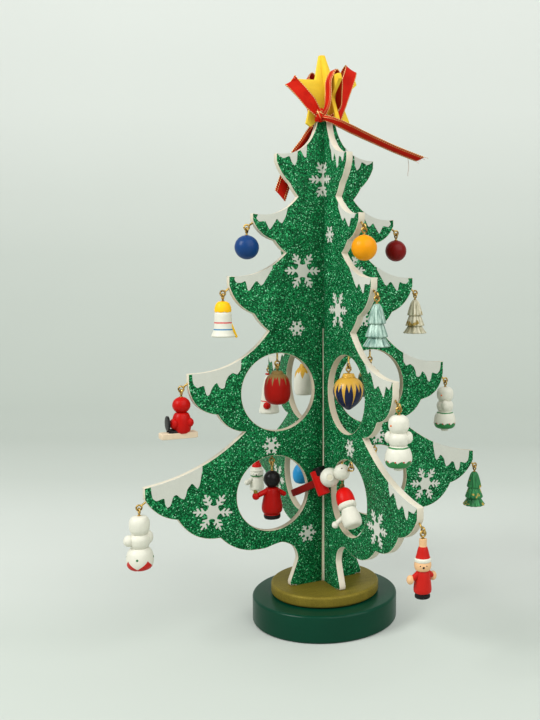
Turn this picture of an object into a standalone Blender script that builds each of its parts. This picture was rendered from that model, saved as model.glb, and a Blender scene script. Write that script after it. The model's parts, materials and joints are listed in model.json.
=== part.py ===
"""A tabletop tree of two slotted wooden panels on a round base, with a star, a bow and hanging ornaments.

Metres, +Z up. The origin is the centre of the base's underside. Panel 1 stands along X and panel 2
along Y, so the four wings point to -X (wing l), -Y (wing f), +X (wing r) and +Y (wing b).
"""
import math

import bmesh
import bpy
from mathutils import Matrix, Vector

for leftover in list(bpy.data.objects):
    bpy.data.objects.remove(leftover, do_unlink=True)

GAP = 0.0003  # between pieces that touch, and round what is slotted or screwed in
OVERRUN = 0.002  # how far a cutter runs past the face that it cuts

# The two discs of the base
BASE_RADIUS = 0.03924
BASE_THICK = 0.0145
COLLAR_RADIUS = 0.02925
COLLAR_THICK = 0.006
DISC_EDGE = 0.0014
DISC_SEGMENTS = 40
EDGE_STEPS = 2

# The panels
PANEL_THICK = 0.0035
TREE_REACH = 0.0975
PANEL_HEIGHT = 0.2494
TENON_HALF = 0.018
TENON_DEPTH = 0.004
UPPER_HOLE_RADIUS = 0.0203
LOWER_HOLE_RADIUS = 0.0199
HOLE_SEGMENTS = 28
ARC_STEPS = 3
EDGE_ARC_STEPS = 6

# Places on a panel as shares of TREE_REACH and PANEL_HEIGHT
SHOULDER_SHARES = (0.054, 0.980)
UPPER_HOLE_SHARES = (0.282, 0.4202)
LOWER_HOLE_SHARES = (0.316, 0.2069)
SLOT_TOP_SHARE = 0.549
# Each tier: tip, the blunt end's drop as a share of tip to valley, valley, bow of the upper edge as a
# share of its chord, notch as shares of the way in and down, bows of the two lobes
TIER_SHARES = (
    ((0.288, 0.910), 0.18, (0.166, 0.825), 0.207, (0.63, 0.63), (0.07, 0.04)),
    ((0.421, 0.787), 0.18, (0.235, 0.709), 0.147, (0.657, 0.619), (0.128, 0.056)),
    ((0.552, 0.660), 0.16, (0.334, 0.548), 0.119, (0.627, 0.627), (0.13, 0.055)),
    ((0.770, 0.467), 0.22, (0.472, 0.342), 0.13, (0.51, 0.595), (0.185, 0.134)),
)
# The lowest tier and the trunk: tip, end of the blunt tip, two notches, foot of the last lobe
SKIRT_TIP_SHARES = (1.0, 0.2486)
SKIRT_END_SHARES = (1.0, 0.226)
SKIRT_NOTCH_SHARES = ((0.834, 0.177), (0.611, 0.1275), (0.447, 0.0914))
SKIRT_BOW_SHARES = (0.12, 0.154, 0.09)
SKIRT_EDGE_BOW_SHARE = 0.08
TRUNK_SHARES = (
    (0.369, 0.0906),
    (0.311, 0.0958),
    (0.263, 0.0982),
    (0.213, 0.0894),
    (0.186, 0.0778),
    (0.174, 0.0617),
    (0.176, 0.0535),
    (0.192, 0.0357),
    (0.220, 0.0072),
    (0.217, 0.0),
)

# Screw eyes
WIRE_RADIUS = 0.00035
RING_RADIUS = 0.0013
SHANK_RADIUS = 0.00045
SHANK_DEPTH = 0.004
EYE_STANDOFF = 0.004
UPPER_EYE_STANDOFF = 0.0055
LOWER_EYE_STANDOFF = 0.003
EYE_TILT = math.radians(37)
EYE_PLACE_SHARE = 0.08
HIGH_EYE_SHARE = 0.71
RING_STEPS = 8
WIRE_SIDES = 4
SHANK_SIDES = 5

# Hanging: the ornament's ring hangs this far below the wire that carries it
RING_HANG = 0.00025
STEM_LENGTH = 0.001
STEM_BURY_SHARE = 0.12
TURNED_SEGMENTS = 10
BALL_SEGMENTS = 8
BALL_RINGS = 5
ROD_SIDES = 8

# The star: two plates slotted across each other, leaning as one
STAR_RADIUS = 0.0194
STAR_INNER_SHARE = 0.45
STAR_TIP_HALF = 0.0015
STAR_THICK = 0.00215
STAR_LEAN = math.radians(-6)
STAR_SEAT_GAP = 0.0014
STAR_POINTS = 5

# The ribbon: a gathered band round the panels' neck, a knot, four loops and two tails
RIBBON_HALF = 0.0034
RIBBON_GATHER_SHARE = 0.45
RIBBON_THICK = 0.0005
BAND_RADIUS = 0.0076
BAND_THICK = 0.0008
BAND_HEIGHT = 0.0018
BAND_DROP = 0.0085
BAND_SEGMENTS = 20
BOW_REACH = 0.03
ROUTE_STEPS = 2
KNOT_RADIUS = 0.0026
KNOT_HEIGHT = 0.0034
# Loops and tails: direction of the ribbon's width, then places as shares of BOW_REACH from the band
LOOP_L_SHARES = (
    (0.75, 0.0, 0.66),
    (
        (-0.150, -0.175, 0.130),
        (-0.300, -0.213, 0.330),
        (-0.480, -0.205, 0.570),
        (-0.638, -0.153, 0.775),
        (-0.470, -0.102, 0.600),
        (-0.285, -0.107, 0.380),
        (-0.145, -0.150, 0.160),
    ),
)
LOOP_F_SHARES = (
    (0.0, 1.0, 0.0),
    (
        (-0.140, -0.200, 0.160),
        (-0.112, -0.320, 0.370),
        (-0.104, -0.345, 0.600),
        (-0.098, -0.345, 0.830),
        (0.000, -0.345, 1.030),
        (0.100, -0.345, 0.830),
        (0.110, -0.330, 0.600),
        (0.118, -0.295, 0.330),
        (0.176, -0.190, 0.010),
    ),
)
LOOP_R_SHARES = (
    (0.9, 0.0, -0.45),
    (
        (0.180, -0.165, 0.000),
        (0.230, -0.125, 0.230),
        (0.285, -0.102, 0.470),
        (0.385, -0.100, 0.740),
        (0.485, -0.082, 0.980),
        (0.530, 0.000, 1.090),
        (0.485, 0.082, 0.980),
        (0.385, 0.100, 0.740),
        (0.285, 0.102, 0.470),
        (0.230, 0.125, 0.230),
        (0.180, 0.165, 0.000),
    ),
)
LOOP_B_SHARES = (
    (0.0, 0.87, -0.5),
    (
        (-0.165, 0.180, 0.010),
        (-0.125, 0.280, 0.250),
        (-0.110, 0.365, 0.440),
        (-0.110, 0.470, 0.690),
        (-0.080, 0.570, 0.930),
        (0.000, 0.610, 1.020),
        (0.082, 0.570, 0.920),
        (0.100, 0.470, 0.680),
        (0.108, 0.365, 0.440),
        (0.125, 0.270, 0.240),
        (0.180, 0.165, 0.010),
    ),
)
TAIL_R_SHARES = (
    (0.0, 0.25, 1.0),
    (
        (0.180, -0.168, 0.000),
        (0.400, -0.265, -0.030),
        (0.740, -0.360, -0.165),
        (1.130, -0.545, -0.320),
        (1.530, -0.745, -0.490),
    ),
)
TAIL_L_SHARES = (
    (0.87, 0.0, -0.5),
    (
        (-0.225, 0.110, -0.005),
        (-0.360, 0.158, -0.160),
        (-0.520, 0.190, -0.430),
        (-0.650, 0.212, -0.770),
        (-0.765, 0.235, -1.160),
    ),
)

# Turned shapes: radius as a share of the half width, and how far down as a share of the height
EGG_SHARES = ((0.45, 0.05), (0.80, 0.24), (1.0, 0.55), (0.86, 0.82), (0.48, 0.97))
BELL_SHARES = (
    (0.20, 0.0),
    (0.52, 0.05),
    (0.68, 0.16),
    (0.72, 0.28),
    (0.74, 0.60),
    (0.80, 0.78),
    (1.0, 0.94),
    (0.92, 1.0),
)
PINE_SHARES = (
    (0.12, 0.0),
    (0.38, 0.10),
    (0.56, 0.28),
    (0.64, 0.44),
    (0.52, 0.46),
    (0.70, 0.62),
    (0.78, 0.74),
    (0.62, 0.76),
    (0.90, 0.90),
    (1.0, 0.96),
    (0.94, 1.0),
)
ONION_SHARES = (
    (0.34, 0.0),
    (0.40, 0.06),
    (0.42, 0.11),
    (0.78, 0.22),
    (0.98, 0.40),
    (0.98, 0.56),
    (0.76, 0.76),
    (0.38, 0.92),
    (0.12, 1.0),
)
ACORN_SHARES = (
    (0.34, 0.0),
    (0.42, 0.06),
    (0.50, 0.10),
    (0.76, 0.18),
    (0.94, 0.34),
    (1.0, 0.56),
    (0.95, 0.76),
    (0.74, 0.93),
    (0.40, 1.0),
)
SNOWMAN_SHARES = (
    (0.52, 0.0),
    (0.74, 0.06),
    (0.78, 0.18),
    (0.72, 0.29),
    (0.58, 0.33),
    (0.74, 0.38),
    (0.78, 0.46),
    (0.72, 0.55),
    (0.60, 0.58),
    (0.86, 0.67),
    (1.0, 0.80),
    (0.96, 0.92),
    (0.78, 1.0),
)
SOLDIER_SHARES = (
    (0.40, 0.0),
    (0.72, 0.07),
    (0.80, 0.18),
    (0.70, 0.29),
    (0.50, 0.35),
    (0.62, 0.38),
    (0.78, 0.52),
    (1.0, 0.71),
    (0.94, 0.80),
    (0.78, 0.89),
    (0.76, 1.0),
)
HATTED_SHARES = (
    (0.44, 0.0),
    (0.44, 0.13),
    (0.56, 0.16),
    (0.74, 0.32),
    (0.96, 0.36),
    (0.96, 0.45),
    (0.68, 0.52),
    (0.88, 0.68),
    (1.0, 0.82),
    (0.84, 0.92),
    (0.68, 0.94),
    (0.66, 1.0),
)
SLEDGER_SHARES = (
    (0.44, 0.0),
    (0.82, 0.07),
    (0.96, 0.22),
    (0.88, 0.37),
    (0.72, 0.46),
    (0.90, 0.56),
    (1.0, 0.78),
    (0.88, 0.96),
    (0.62, 1.0),
)
GOWN_SHARES = (
    (0.36, 0.0),
    (0.36, 0.04),
    (0.28, 0.06),
    (0.46, 0.16),
    (0.70, 0.42),
    (0.80, 0.66),
    (1.0, 0.92),
    (0.82, 1.0),
)
BEAR_SHARES = (
    (0.30, 0.02),
    (0.66, 0.12),
    (0.78, 0.30),
    (0.72, 0.44),
    (0.66, 0.48),
    (0.82, 0.60),
    (1.0, 0.80),
    (0.84, 0.96),
    (0.60, 1.0),
)
# Added pieces of a figure: kind, centre and size; widths in half widths, heights in heights
ARM_PAIR_SHARES = (
    ("ball", (0.40, 0.58, 0.43), (0.34, 0.34, 0.12)),
    ("ball", (-0.40, -0.58, 0.43), (0.34, 0.34, 0.12)),
    ("rod", (0.0, 0.0, 0.96), (0.0, 0.0, 1.07), 0.36),
)
SIDE_ARM_SHARES = (
    ("ball", (0.79, 0.0, 0.45), (0.41, 0.41, 0.107)),
    ("ball", (-0.66, 0.0, 0.42), (0.34, 0.40, 0.13)),
)
SOLDIER_ARM_SHARES = (
    ("rod", (0.30, 0.0, 0.41), (1.60, 0.0, 0.51), 0.26),
    ("ball", (1.64, 0.0, 0.50), (0.36, 0.36, 0.078)),
    ("rod", (-0.30, 0.0, 0.42), (-1.30, 0.0, 0.52), 0.25),
)
HATTED_ARM_SHARES = (
    ("rod", (0.0, 0.0, 0.56), (0.0, 1.30, 0.66), 0.32),
    ("rod", (0.0, 0.0, 0.56), (0.0, -1.30, 0.66), 0.32),
    ("ball", (-0.20, -1.46, 0.67), (0.42, 0.42, 0.085)),
    ("ball", (-0.20, 1.46, 0.67), (0.42, 0.42, 0.085)),
)
SLEDGE_SHARES = (
    ("block", (0.37, 0.0, 1.055), (1.97, 0.70, 0.085)),
    ("ball", (0.94, 0.36, 0.72), (0.50, 0.50, 0.15)),
    ("rod", (1.0, 0.10, 0.71), (1.62, 0.10, 0.71), 0.30),
    ("rod", (1.44, 0.10, 0.71), (1.66, 0.10, 0.71), 0.80),
)
BELL_STICK_SHARES = (("rod", (-0.40, 0.30, 0.50), (-1.10, 0.30, 1.04), 0.12),)
GOWN_BALL_SHARES = (("ball", (-0.64, 0.50, 0.79), (0.37, 0.37, 0.095)),)
BEAR_ARM_SHARES = (
    ("rod", (-0.20, -0.30, 0.66), (-0.74, -1.50, 0.80), 0.26),
    ("ball", (-0.78, -1.60, 0.82), (0.34, 0.34, 0.085)),
)
NO_SHARES = ()

# The bear hangs lower on a thread from an eye of its own beside the hole's eye, and tilts
BEAR_EYE_APART = 0.0103
BEAR_TILT = math.radians(-38)
# The doll lies across the corner from wing f's lower hole into wing l's
DOLL_RIM_GAP = 0.0038
DOLL_CROSSING_DROP = 0.0007
DOLL_HEAD_RADIUS = 0.00425
DOLL_TORSO_RADIUS = 0.005
DOLL_TORSO_BURY_SHARE = 0.1
DOLL_BARREL_RADIUS = 0.0034
DOLL_BARREL_UP = 0.0062
DOLL_BARREL_DOWN = 0.0072
DOLL_BAR_HALF = 0.0019
DOLL_BAR_PAST = 0.005

# Wings: the angle of each about Z
WING_ANGLES = {
    "r": 0.0,
    "b": math.radians(90),
    "l": math.radians(180),
    "f": math.radians(-90),
}

WHITE = (0.78, 0.76, 0.70)
RED = (0.45, 0.02, 0.015)
GREEN = (0.02, 0.16, 0.07)
BRASS = (0.36, 0.24, 0.08)
PLAIN_ROUGHNESS_SHARE = 0.5
PAINT_ROUGHNESS_SHARE = 0.35
MATT_ROUGHNESS_SHARE = 0.6
CLOTH_ROUGHNESS_SHARE = 0.45
GILT_METAL_SHARE = 0.4
WIRE_METAL_SHARE = 0.9
NAVY = (0.01, 0.03, 0.10)
BLUE = (0.03, 0.22, 0.42)
YELLOW = (0.78, 0.42, 0.02)
PEARL = (0.62, 0.58, 0.42)
TEAL = (0.22, 0.42, 0.38)

# Ornaments: name, wing, site, extra length of the stem, width, height, turned shape, added pieces, colour
ORNAMENTS = (
    ("l2_ball", "l", "2", 0.0, 0.0122, 0.0122, None, NO_SHARES, BLUE),
    ("f2_ball", "f", "2", 0.0, 0.0126, 0.0126, None, NO_SHARES, YELLOW),
    ("r2_ball", "r", "2", 0.0, 0.0118, 0.0118, None, NO_SHARES, RED),
    ("b2_ball", "b", "2", 0.0, 0.0122, 0.0122, None, NO_SHARES, GREEN),
    ("l3_bell", "l", "3", 0.0, 0.0118, 0.0180, BELL_SHARES, BELL_STICK_SHARES, WHITE),
    ("f3_pine", "f", "3", 0.0, 0.0134, 0.0207, PINE_SHARES, NO_SHARES, TEAL),
    ("r3_pine", "r", "3", 0.0, 0.0134, 0.0190, PINE_SHARES, NO_SHARES, PEARL),
    ("b3_bell", "b", "3", 0.0, 0.0118, 0.0180, BELL_SHARES, NO_SHARES, WHITE),
    ("l4_sledger", "l", "high", 0.0, 0.0092, 0.0179, SLEDGER_SHARES, SLEDGE_SHARES, RED),
    ("f4_snowman", "f", "4", 0.0, 0.0127, 0.0244, SNOWMAN_SHARES, ARM_PAIR_SHARES, WHITE),
    ("r4_snowman", "r", "4", 0.0, 0.0127, 0.0244, SNOWMAN_SHARES, ARM_PAIR_SHARES, WHITE),
    ("b4_figure", "b", "high", 0.0, 0.0125, 0.0246, GOWN_SHARES, GOWN_BALL_SHARES, WHITE),
    ("l5_snowman", "l", "5", 0.0, 0.0130, 0.0264, SNOWMAN_SHARES, SIDE_ARM_SHARES, WHITE),
    ("f5_figure", "f", "5", 0.0, 0.0082, 0.0270, HATTED_SHARES, HATTED_ARM_SHARES, RED),
    ("r5_pine", "r", "5", 0.0, 0.0134, 0.0204, PINE_SHARES, NO_SHARES, GREEN),
    ("b5_figure", "b", "5", 0.0, 0.0092, 0.0225, HATTED_SHARES, HATTED_ARM_SHARES, WHITE),
    ("l_upper_onion", "l", "upper", 0.0, 0.0138, 0.0176, ACORN_SHARES, NO_SHARES, RED),
    ("f_upper_onion", "f", "upper", 0.0, 0.0160, 0.0187, ONION_SHARES, NO_SHARES, NAVY),
    ("r_upper_onion", "r", "upper", 0.0, 0.0138, 0.0176, ACORN_SHARES, NO_SHARES, GREEN),
    ("b_upper_onion", "b", "upper", 0.0, 0.0110, 0.0174, ONION_SHARES, NO_SHARES, WHITE),
    ("l_lower_soldier", "l", "lower", 0.0012, 0.0109, 0.0255, SOLDIER_SHARES, SOLDIER_ARM_SHARES, RED),
    ("r_lower_egg", "r", "lower", 0.0065, 0.0100, 0.0118, EGG_SHARES, NO_SHARES, YELLOW),
    ("b_lower_egg", "b", "lower", 0.0065, 0.0100, 0.0118, EGG_SHARES, NO_SHARES, BLUE),
    ("f_lower_bear", "f", "bear", 0.0075, 0.0100, 0.0215, BEAR_SHARES, BEAR_ARM_SHARES, WHITE),
)
# Where each wing has its screw eyes: at the tips of tiers, which count from the top, and in the holes
TIERS = ("1", "2", "3", "4", "5")
WING_SITES = {
    "r": ("2", "3", "4", "5", "upper", "lower"),
    "b": ("2", "3", "high", "5", "upper", "lower"),
    "l": ("2", "3", "high", "5", "upper", "lower"),
    "f": ("2", "3", "4", "5", "upper", "lower", "bear"),
}
SITE_LABELS = {"high": "4"}

# Places that follow from the sizes above
COLLAR_BOTTOM = BASE_THICK + GAP
COLLAR_TOP = COLLAR_BOTTOM + COLLAR_THICK
FOOT_Z = COLLAR_TOP + GAP
PANEL_TOP = FOOT_Z + PANEL_HEIGHT
SLOT_TOP = FOOT_Z + SLOT_TOP_SHARE * PANEL_HEIGHT
SLOT_HALF = PANEL_THICK / 2 + GAP
PILOT_RADIUS = SHANK_RADIUS + GAP
STAR_Z = PANEL_TOP + STAR_SEAT_GAP + STAR_INNER_SHARE * STAR_RADIUS
BAND_Z = PANEL_TOP - BAND_DROP
BODY_DROP = RING_HANG + RING_RADIUS + STEM_LENGTH
LOWER_EYE_REACH = LOWER_HOLE_SHARES[0] * TREE_REACH
BEAR_REACH = LOWER_EYE_REACH - BEAR_EYE_APART
DOLL_CROSSING = LOWER_EYE_REACH - LOWER_HOLE_RADIUS + DOLL_RIM_GAP


def principled(name, colour, roughness, metallic=0.0):
    """A material of its own for one sub-part."""
    made = bpy.data.materials.new(name)
    made.use_nodes = True
    shader = made.node_tree.nodes["Principled BSDF"]
    shader.inputs["Base Color"].default_value = (*colour, 1.0)
    shader.inputs["Roughness"].default_value = roughness
    shader.inputs["Metallic"].default_value = metallic
    return made


def add_object(name, shape):
    """An object made of the bmesh shape, with its faces turned outward."""
    bmesh.ops.recalc_face_normals(shape, faces=shape.faces)
    mesh = bpy.data.meshes.new(name)
    shape.to_mesh(mesh)
    shape.free()
    made = bpy.data.objects.new(name, mesh)
    bpy.context.scene.collection.objects.link(made)
    return made


def finish(made, colour, roughness=PLAIN_ROUGHNESS_SHARE, metallic=0.0, smooth=True):
    """Give the object its material and smooth its round faces."""
    made.data.materials.clear()
    made.data.materials.append(principled(made.name, colour, roughness, metallic))
    if smooth:
        made.data.shade_smooth()
        made.data.set_sharp_from_angle(angle=math.radians(40))
    return made


def bake(made, name):
    """A new object that holds the evaluated mesh, in place of the one with modifiers."""
    depsgraph = bpy.context.evaluated_depsgraph_get()
    mesh = bpy.data.meshes.new_from_object(made.evaluated_get(depsgraph))
    mesh.name = name
    baked = bpy.data.objects.new(name, mesh)
    bpy.context.scene.collection.objects.link(baked)
    return baked


def combine(name, pieces, operation):
    """Join the first piece with the others, or cut them from it, as one closed body."""
    first = pieces[0]
    for piece in pieces[1:]:
        modifier = first.modifiers.new(operation.lower(), "BOOLEAN")
        modifier.operation = operation
        modifier.object = piece
    baked = bake(first, name)
    for piece in pieces:
        bpy.data.objects.remove(piece, do_unlink=True)
    baked.name = name
    return baked


def move(piece, matrix):
    """Move the piece's own mesh."""
    piece.data.transform(matrix)
    return piece


def ball(centre, radii):
    """An ellipsoid."""
    shape = bmesh.new()
    bmesh.ops.create_uvsphere(shape, u_segments=BALL_SEGMENTS, v_segments=BALL_RINGS, radius=1.0)
    bmesh.ops.transform(shape, matrix=Matrix.Diagonal((*radii, 1.0)), verts=shape.verts)
    bmesh.ops.translate(shape, vec=centre, verts=shape.verts)
    return add_object("ball", shape)


def rod(start, end, radius, sides=ROD_SIDES):
    """A round bar from start to end."""
    start, end = Vector(start), Vector(end)
    along = end - start
    shape = bmesh.new()
    bmesh.ops.create_cone(
        shape,
        cap_ends=True,
        segments=sides,
        radius1=radius,
        radius2=radius,
        depth=along.length,
    )
    turn = along.to_track_quat("Z", "Y").to_matrix().to_4x4()
    place = Matrix.Translation((start + end) / 2) @ turn
    bmesh.ops.transform(shape, matrix=place, verts=shape.verts)
    return add_object("rod", shape)


def block(centre, size):
    """A box."""
    shape = bmesh.new()
    bmesh.ops.create_cube(shape, size=1.0)
    bmesh.ops.transform(shape, matrix=Matrix.Diagonal((*size, 1.0)), verts=shape.verts)
    bmesh.ops.translate(shape, vec=centre, verts=shape.verts)
    return add_object("block", shape)


def turned(points, segments=TURNED_SEGMENTS):
    """A solid turned about Z from (radius, height) points; it is closed at the axis."""
    shape = bmesh.new()
    profile = [(0.0, points[0][1]), *points, (0.0, points[-1][1])]
    corners = [shape.verts.new((radius, 0.0, height)) for radius, height in profile]
    edges = [shape.edges.new(pair) for pair in zip(corners, corners[1:])]
    bmesh.ops.spin(
        shape,
        geom=[*corners, *edges],
        cent=(0.0, 0.0, 0.0),
        axis=(0.0, 0.0, 1.0),
        angle=math.tau,
        steps=segments,
        use_merge=True,
    )
    bmesh.ops.remove_doubles(shape, verts=shape.verts, dist=GAP / segments)
    return add_object("turned", shape)


def ring(centre, axis, radius, wire):
    """A round wire ring about the axis."""
    shape = bmesh.new()
    circle = bmesh.ops.create_circle(shape, segments=WIRE_SIDES, radius=wire)
    upright = Matrix.Translation((radius, 0.0, 0.0)) @ Matrix.Rotation(math.radians(90), 4, "X")
    bmesh.ops.transform(shape, matrix=upright, verts=circle["verts"])
    bmesh.ops.spin(
        shape,
        geom=[*shape.verts, *shape.edges],
        cent=(0.0, 0.0, 0.0),
        axis=(0.0, 0.0, 1.0),
        angle=math.tau,
        steps=RING_STEPS,
        use_merge=True,
    )
    bmesh.ops.remove_doubles(shape, verts=shape.verts, dist=wire / RING_STEPS)
    turn = Vector(axis).to_track_quat("Z", "Y").to_matrix().to_4x4()
    bmesh.ops.transform(shape, matrix=Matrix.Translation(centre) @ turn, verts=shape.verts)
    return add_object("ring", shape)


def disc(name, radius, bottom, thick):
    """A disc with rounded upper and lower edges."""
    rounded = []
    for step in range(EDGE_STEPS + 1):
        angle = math.radians(90) * step / EDGE_STEPS
        inset = DISC_EDGE * (1 - math.sin(angle))
        rounded.append((radius - inset, bottom + thick - DISC_EDGE * (1 - math.cos(angle))))
    lower = [(reach, 2 * bottom + thick - height) for reach, height in reversed(rounded)]
    made = turned(rounded + lower, DISC_SEGMENTS)
    made.name = name
    return made


# Outline of a panel


def on_panel(shares):
    """A place on a panel from its shares."""
    return (shares[0] * TREE_REACH, FOOT_Z + shares[1] * PANEL_HEIGHT)


def along_arc(start, end, bow_share, part_share):
    """The point a part of the way along a shallow curve that bows to the right of its chord."""
    across, up = end[0] - start[0], end[1] - start[1]
    rise = 4 * bow_share * part_share * (1 - part_share)
    return (start[0] + across * part_share + up * rise, start[1] + up * part_share - across * rise)


def arc(start, end, bow_share, steps):
    """Points of the curve after its start."""
    return [along_arc(start, end, bow_share, step / steps) for step in range(1, steps + 1)]


def tier_corners(tier):
    """Tip, end of the blunt tip, notch and valley of one of the upper tiers."""
    tip_shares, drop_share, valley_shares, _, notch_shares, _ = TIER_SHARES[tier]
    tip, valley = on_panel(tip_shares), on_panel(valley_shares)
    end = (tip[0], tip[1] - drop_share * (tip[1] - valley[1]))
    notch_in = end[0] - notch_shares[0] * (end[0] - valley[0])
    notch_down = end[1] - notch_shares[1] * (end[1] - valley[1])
    return tip, end, (notch_in, notch_down), valley


def eye_place(site):
    """Where the screw eye enters the tip of a tier; the high one is on the fourth tier's blunt end."""
    if site == "high":
        tip, end, _, _ = tier_corners(len(TIER_SHARES) - 1)
        return (tip[0], tip[1] + HIGH_EYE_SHARE * (end[1] - tip[1]))
    tier = TIERS.index(site)
    if tier < len(TIER_SHARES):
        _, end, notch, _ = tier_corners(tier)
        return along_arc(end, notch, -TIER_SHARES[tier][5][0], EYE_PLACE_SHARE)
    end, notch = on_panel(SKIRT_END_SHARES), on_panel(SKIRT_NOTCH_SHARES[0])
    return along_arc(end, notch, -SKIRT_BOW_SHARES[0], EYE_PLACE_SHARE)


def half_outline():
    """The outline of one wing from the apex to the foot."""
    points = [on_panel(SHOULDER_SHARES)]
    for tier, (_, _, _, edge_bow, _, lobe_bows) in enumerate(TIER_SHARES):
        tip, end, notch, valley = tier_corners(tier)
        points += arc(points[-1], tip, edge_bow, EDGE_ARC_STEPS)
        points.append(end)
        points += arc(end, notch, -lobe_bows[0], ARC_STEPS)
        points += arc(notch, valley, -lobe_bows[1], ARC_STEPS)
    points += arc(points[-1], on_panel(SKIRT_TIP_SHARES), SKIRT_EDGE_BOW_SHARE, EDGE_ARC_STEPS)
    points.append(on_panel(SKIRT_END_SHARES))
    for notch_shares, bow_share in zip(SKIRT_NOTCH_SHARES, SKIRT_BOW_SHARES):
        points += arc(points[-1], on_panel(notch_shares), -bow_share, ARC_STEPS)
    points += [on_panel(shares) for shares in TRUNK_SHARES]
    points += [(TENON_HALF, FOOT_Z), (TENON_HALF, FOOT_Z - TENON_DEPTH)]
    return points


def hole_centre(site):
    """Centre and radius of the upper or lower hole of a wing."""
    if site == "upper":
        return on_panel(UPPER_HOLE_SHARES), UPPER_HOLE_RADIUS
    return on_panel(LOWER_HOLE_SHARES), LOWER_HOLE_RADIUS


def rim_top(site, reach):
    """Height of a hole's upper rim at this reach."""
    (centre_reach, centre_z), radius = hole_centre(site)
    return centre_z + math.sqrt(radius**2 - (reach - centre_reach) ** 2)


def eye_frame(site):
    """Where an eye enters the wood, the way from the wood to its ring, and its standoff."""
    if site in ("upper", "lower"):
        (reach, _), _ = hole_centre(site)
        standoff = UPPER_EYE_STANDOFF if site == "upper" else LOWER_EYE_STANDOFF
        return (reach, rim_top(site, reach)), (0.0, -1.0), standoff
    if site == "bear":
        return (BEAR_REACH, rim_top("lower", BEAR_REACH)), (0.0, -1.0), LOWER_EYE_STANDOFF
    return eye_place(site), (math.cos(EYE_TILT), -math.sin(EYE_TILT)), EYE_STANDOFF


def ring_centre(site):
    """Reach and height of the middle of a panel eye's ring."""
    entry, way, standoff = eye_frame(site)
    return (entry[0] + way[0] * standoff, entry[1] + way[1] * standoff)


def hinge_place(site, wing):
    """The lowest point of the ring's wire, where an ornament hangs, in world coordinates."""
    reach, height = ring_centre(site)
    angle = WING_ANGLES[wing]
    return Vector((reach * math.cos(angle), reach * math.sin(angle), height - RING_RADIUS))


def pilot(site, side):
    """The cutter for an eye's pilot hole on the side of the panel that points to +X or -X."""
    (reach, height), way, _ = eye_frame(site)
    inner = (side * (reach - way[0] * (SHANK_DEPTH + GAP)), 0.0, height - way[1] * (SHANK_DEPTH + GAP))
    outer = (side * (reach + way[0] * OVERRUN), 0.0, height + way[1] * OVERRUN)
    return rod(inner, outer, PILOT_RADIUS, SHANK_SIDES)


def panel(name, slot_from_below, wings):
    """One panel in the XZ plane, with its slot, holes and pilot holes."""
    half = half_outline()
    outline = [(0.0, PANEL_TOP), *half, *[(-across, up) for across, up in reversed(half)]]
    shape = bmesh.new()
    corners = [shape.verts.new((across, -PANEL_THICK / 2, up)) for across, up in outline]
    face = shape.faces.new(corners)
    extruded = bmesh.ops.extrude_face_region(shape, geom=[face])
    moved = [part for part in extruded["geom"] if isinstance(part, bmesh.types.BMVert)]
    bmesh.ops.translate(shape, vec=(0.0, PANEL_THICK, 0.0), verts=moved)
    blank = add_object(name, shape)
    low, high = SLOT_TOP, PANEL_TOP + OVERRUN
    if slot_from_below:
        low, high = FOOT_Z - TENON_DEPTH - OVERRUN, SLOT_TOP + GAP
    slot_size = (2 * SLOT_HALF, PANEL_THICK + 2 * OVERRUN, high - low)
    cutters = [block((0.0, 0.0, (low + high) / 2), slot_size)]
    through = PANEL_THICK / 2 + OVERRUN
    for side, wing in zip((1, -1), wings):
        for site in ("upper", "lower"):
            (reach, height), radius = hole_centre(site)
            start = (side * reach, -through, height)
            cutters.append(rod(start, (side * reach, through, height), radius, HOLE_SEGMENTS))
        cutters += [pilot(site, side) for site in WING_SITES[wing]]
    return combine(name, [blank, *cutters], "DIFFERENCE")


def screw_eye_mesh(site):
    """A panel's screw eye about its ring's lowest point, with the wing along +X."""
    _, way, standoff = eye_frame(site)
    middle = Vector((0.0, 0.0, RING_RADIUS))
    wood = Vector((-way[0], 0.0, -way[1]))
    start = middle + wood * RING_RADIUS
    end = middle + wood * (standoff + SHANK_DEPTH)
    parts = [ring(middle, (0.0, 1.0, 0.0), RING_RADIUS, WIRE_RADIUS)]
    parts.append(rod(start, end, SHANK_RADIUS, SHANK_SIDES))
    return combine("screw_eye", parts, "UNION")


def hanger(drop, bury, axis=(1.0, 0.0, 0.0)):
    """An ornament's own screw eye: a ring about the axis and a stem into the body."""
    middle = (0.0, 0.0, -RING_HANG)
    low = -RING_HANG - RING_RADIUS
    stem = rod((0.0, 0.0, low), (0.0, 0.0, -drop - bury), SHANK_RADIUS, SHANK_SIDES)
    return [ring(middle, axis, RING_RADIUS, WIRE_RADIUS), stem]


def figure(width, height, profile_shares, added_shares, drop):
    """The pieces of an ornament's body, whose top lies this far below the hinge."""
    half = width / 2
    if profile_shares is None:
        return [ball((0.0, 0.0, -drop - half), (half, half, half))]
    points = [(share * half, -drop - down * height) for share, down in profile_shares]
    pieces = [turned(points)]
    for kind, centre, size, *thick in added_shares:
        place = (centre[0] * half, centre[1] * half, -drop - centre[2] * height)
        if kind == "ball":
            pieces.append(ball(place, (size[0] * half, size[1] * half, size[2] * height)))
        elif kind == "block":
            extent = (2 * size[0] * half, 2 * size[1] * half, 2 * size[2] * height)
            pieces.append(block(place, extent))
        else:
            end = (size[0] * half, size[1] * half, -drop - size[2] * height)
            pieces.append(rod(place, end, thick[0] * half))
    return pieces


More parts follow.
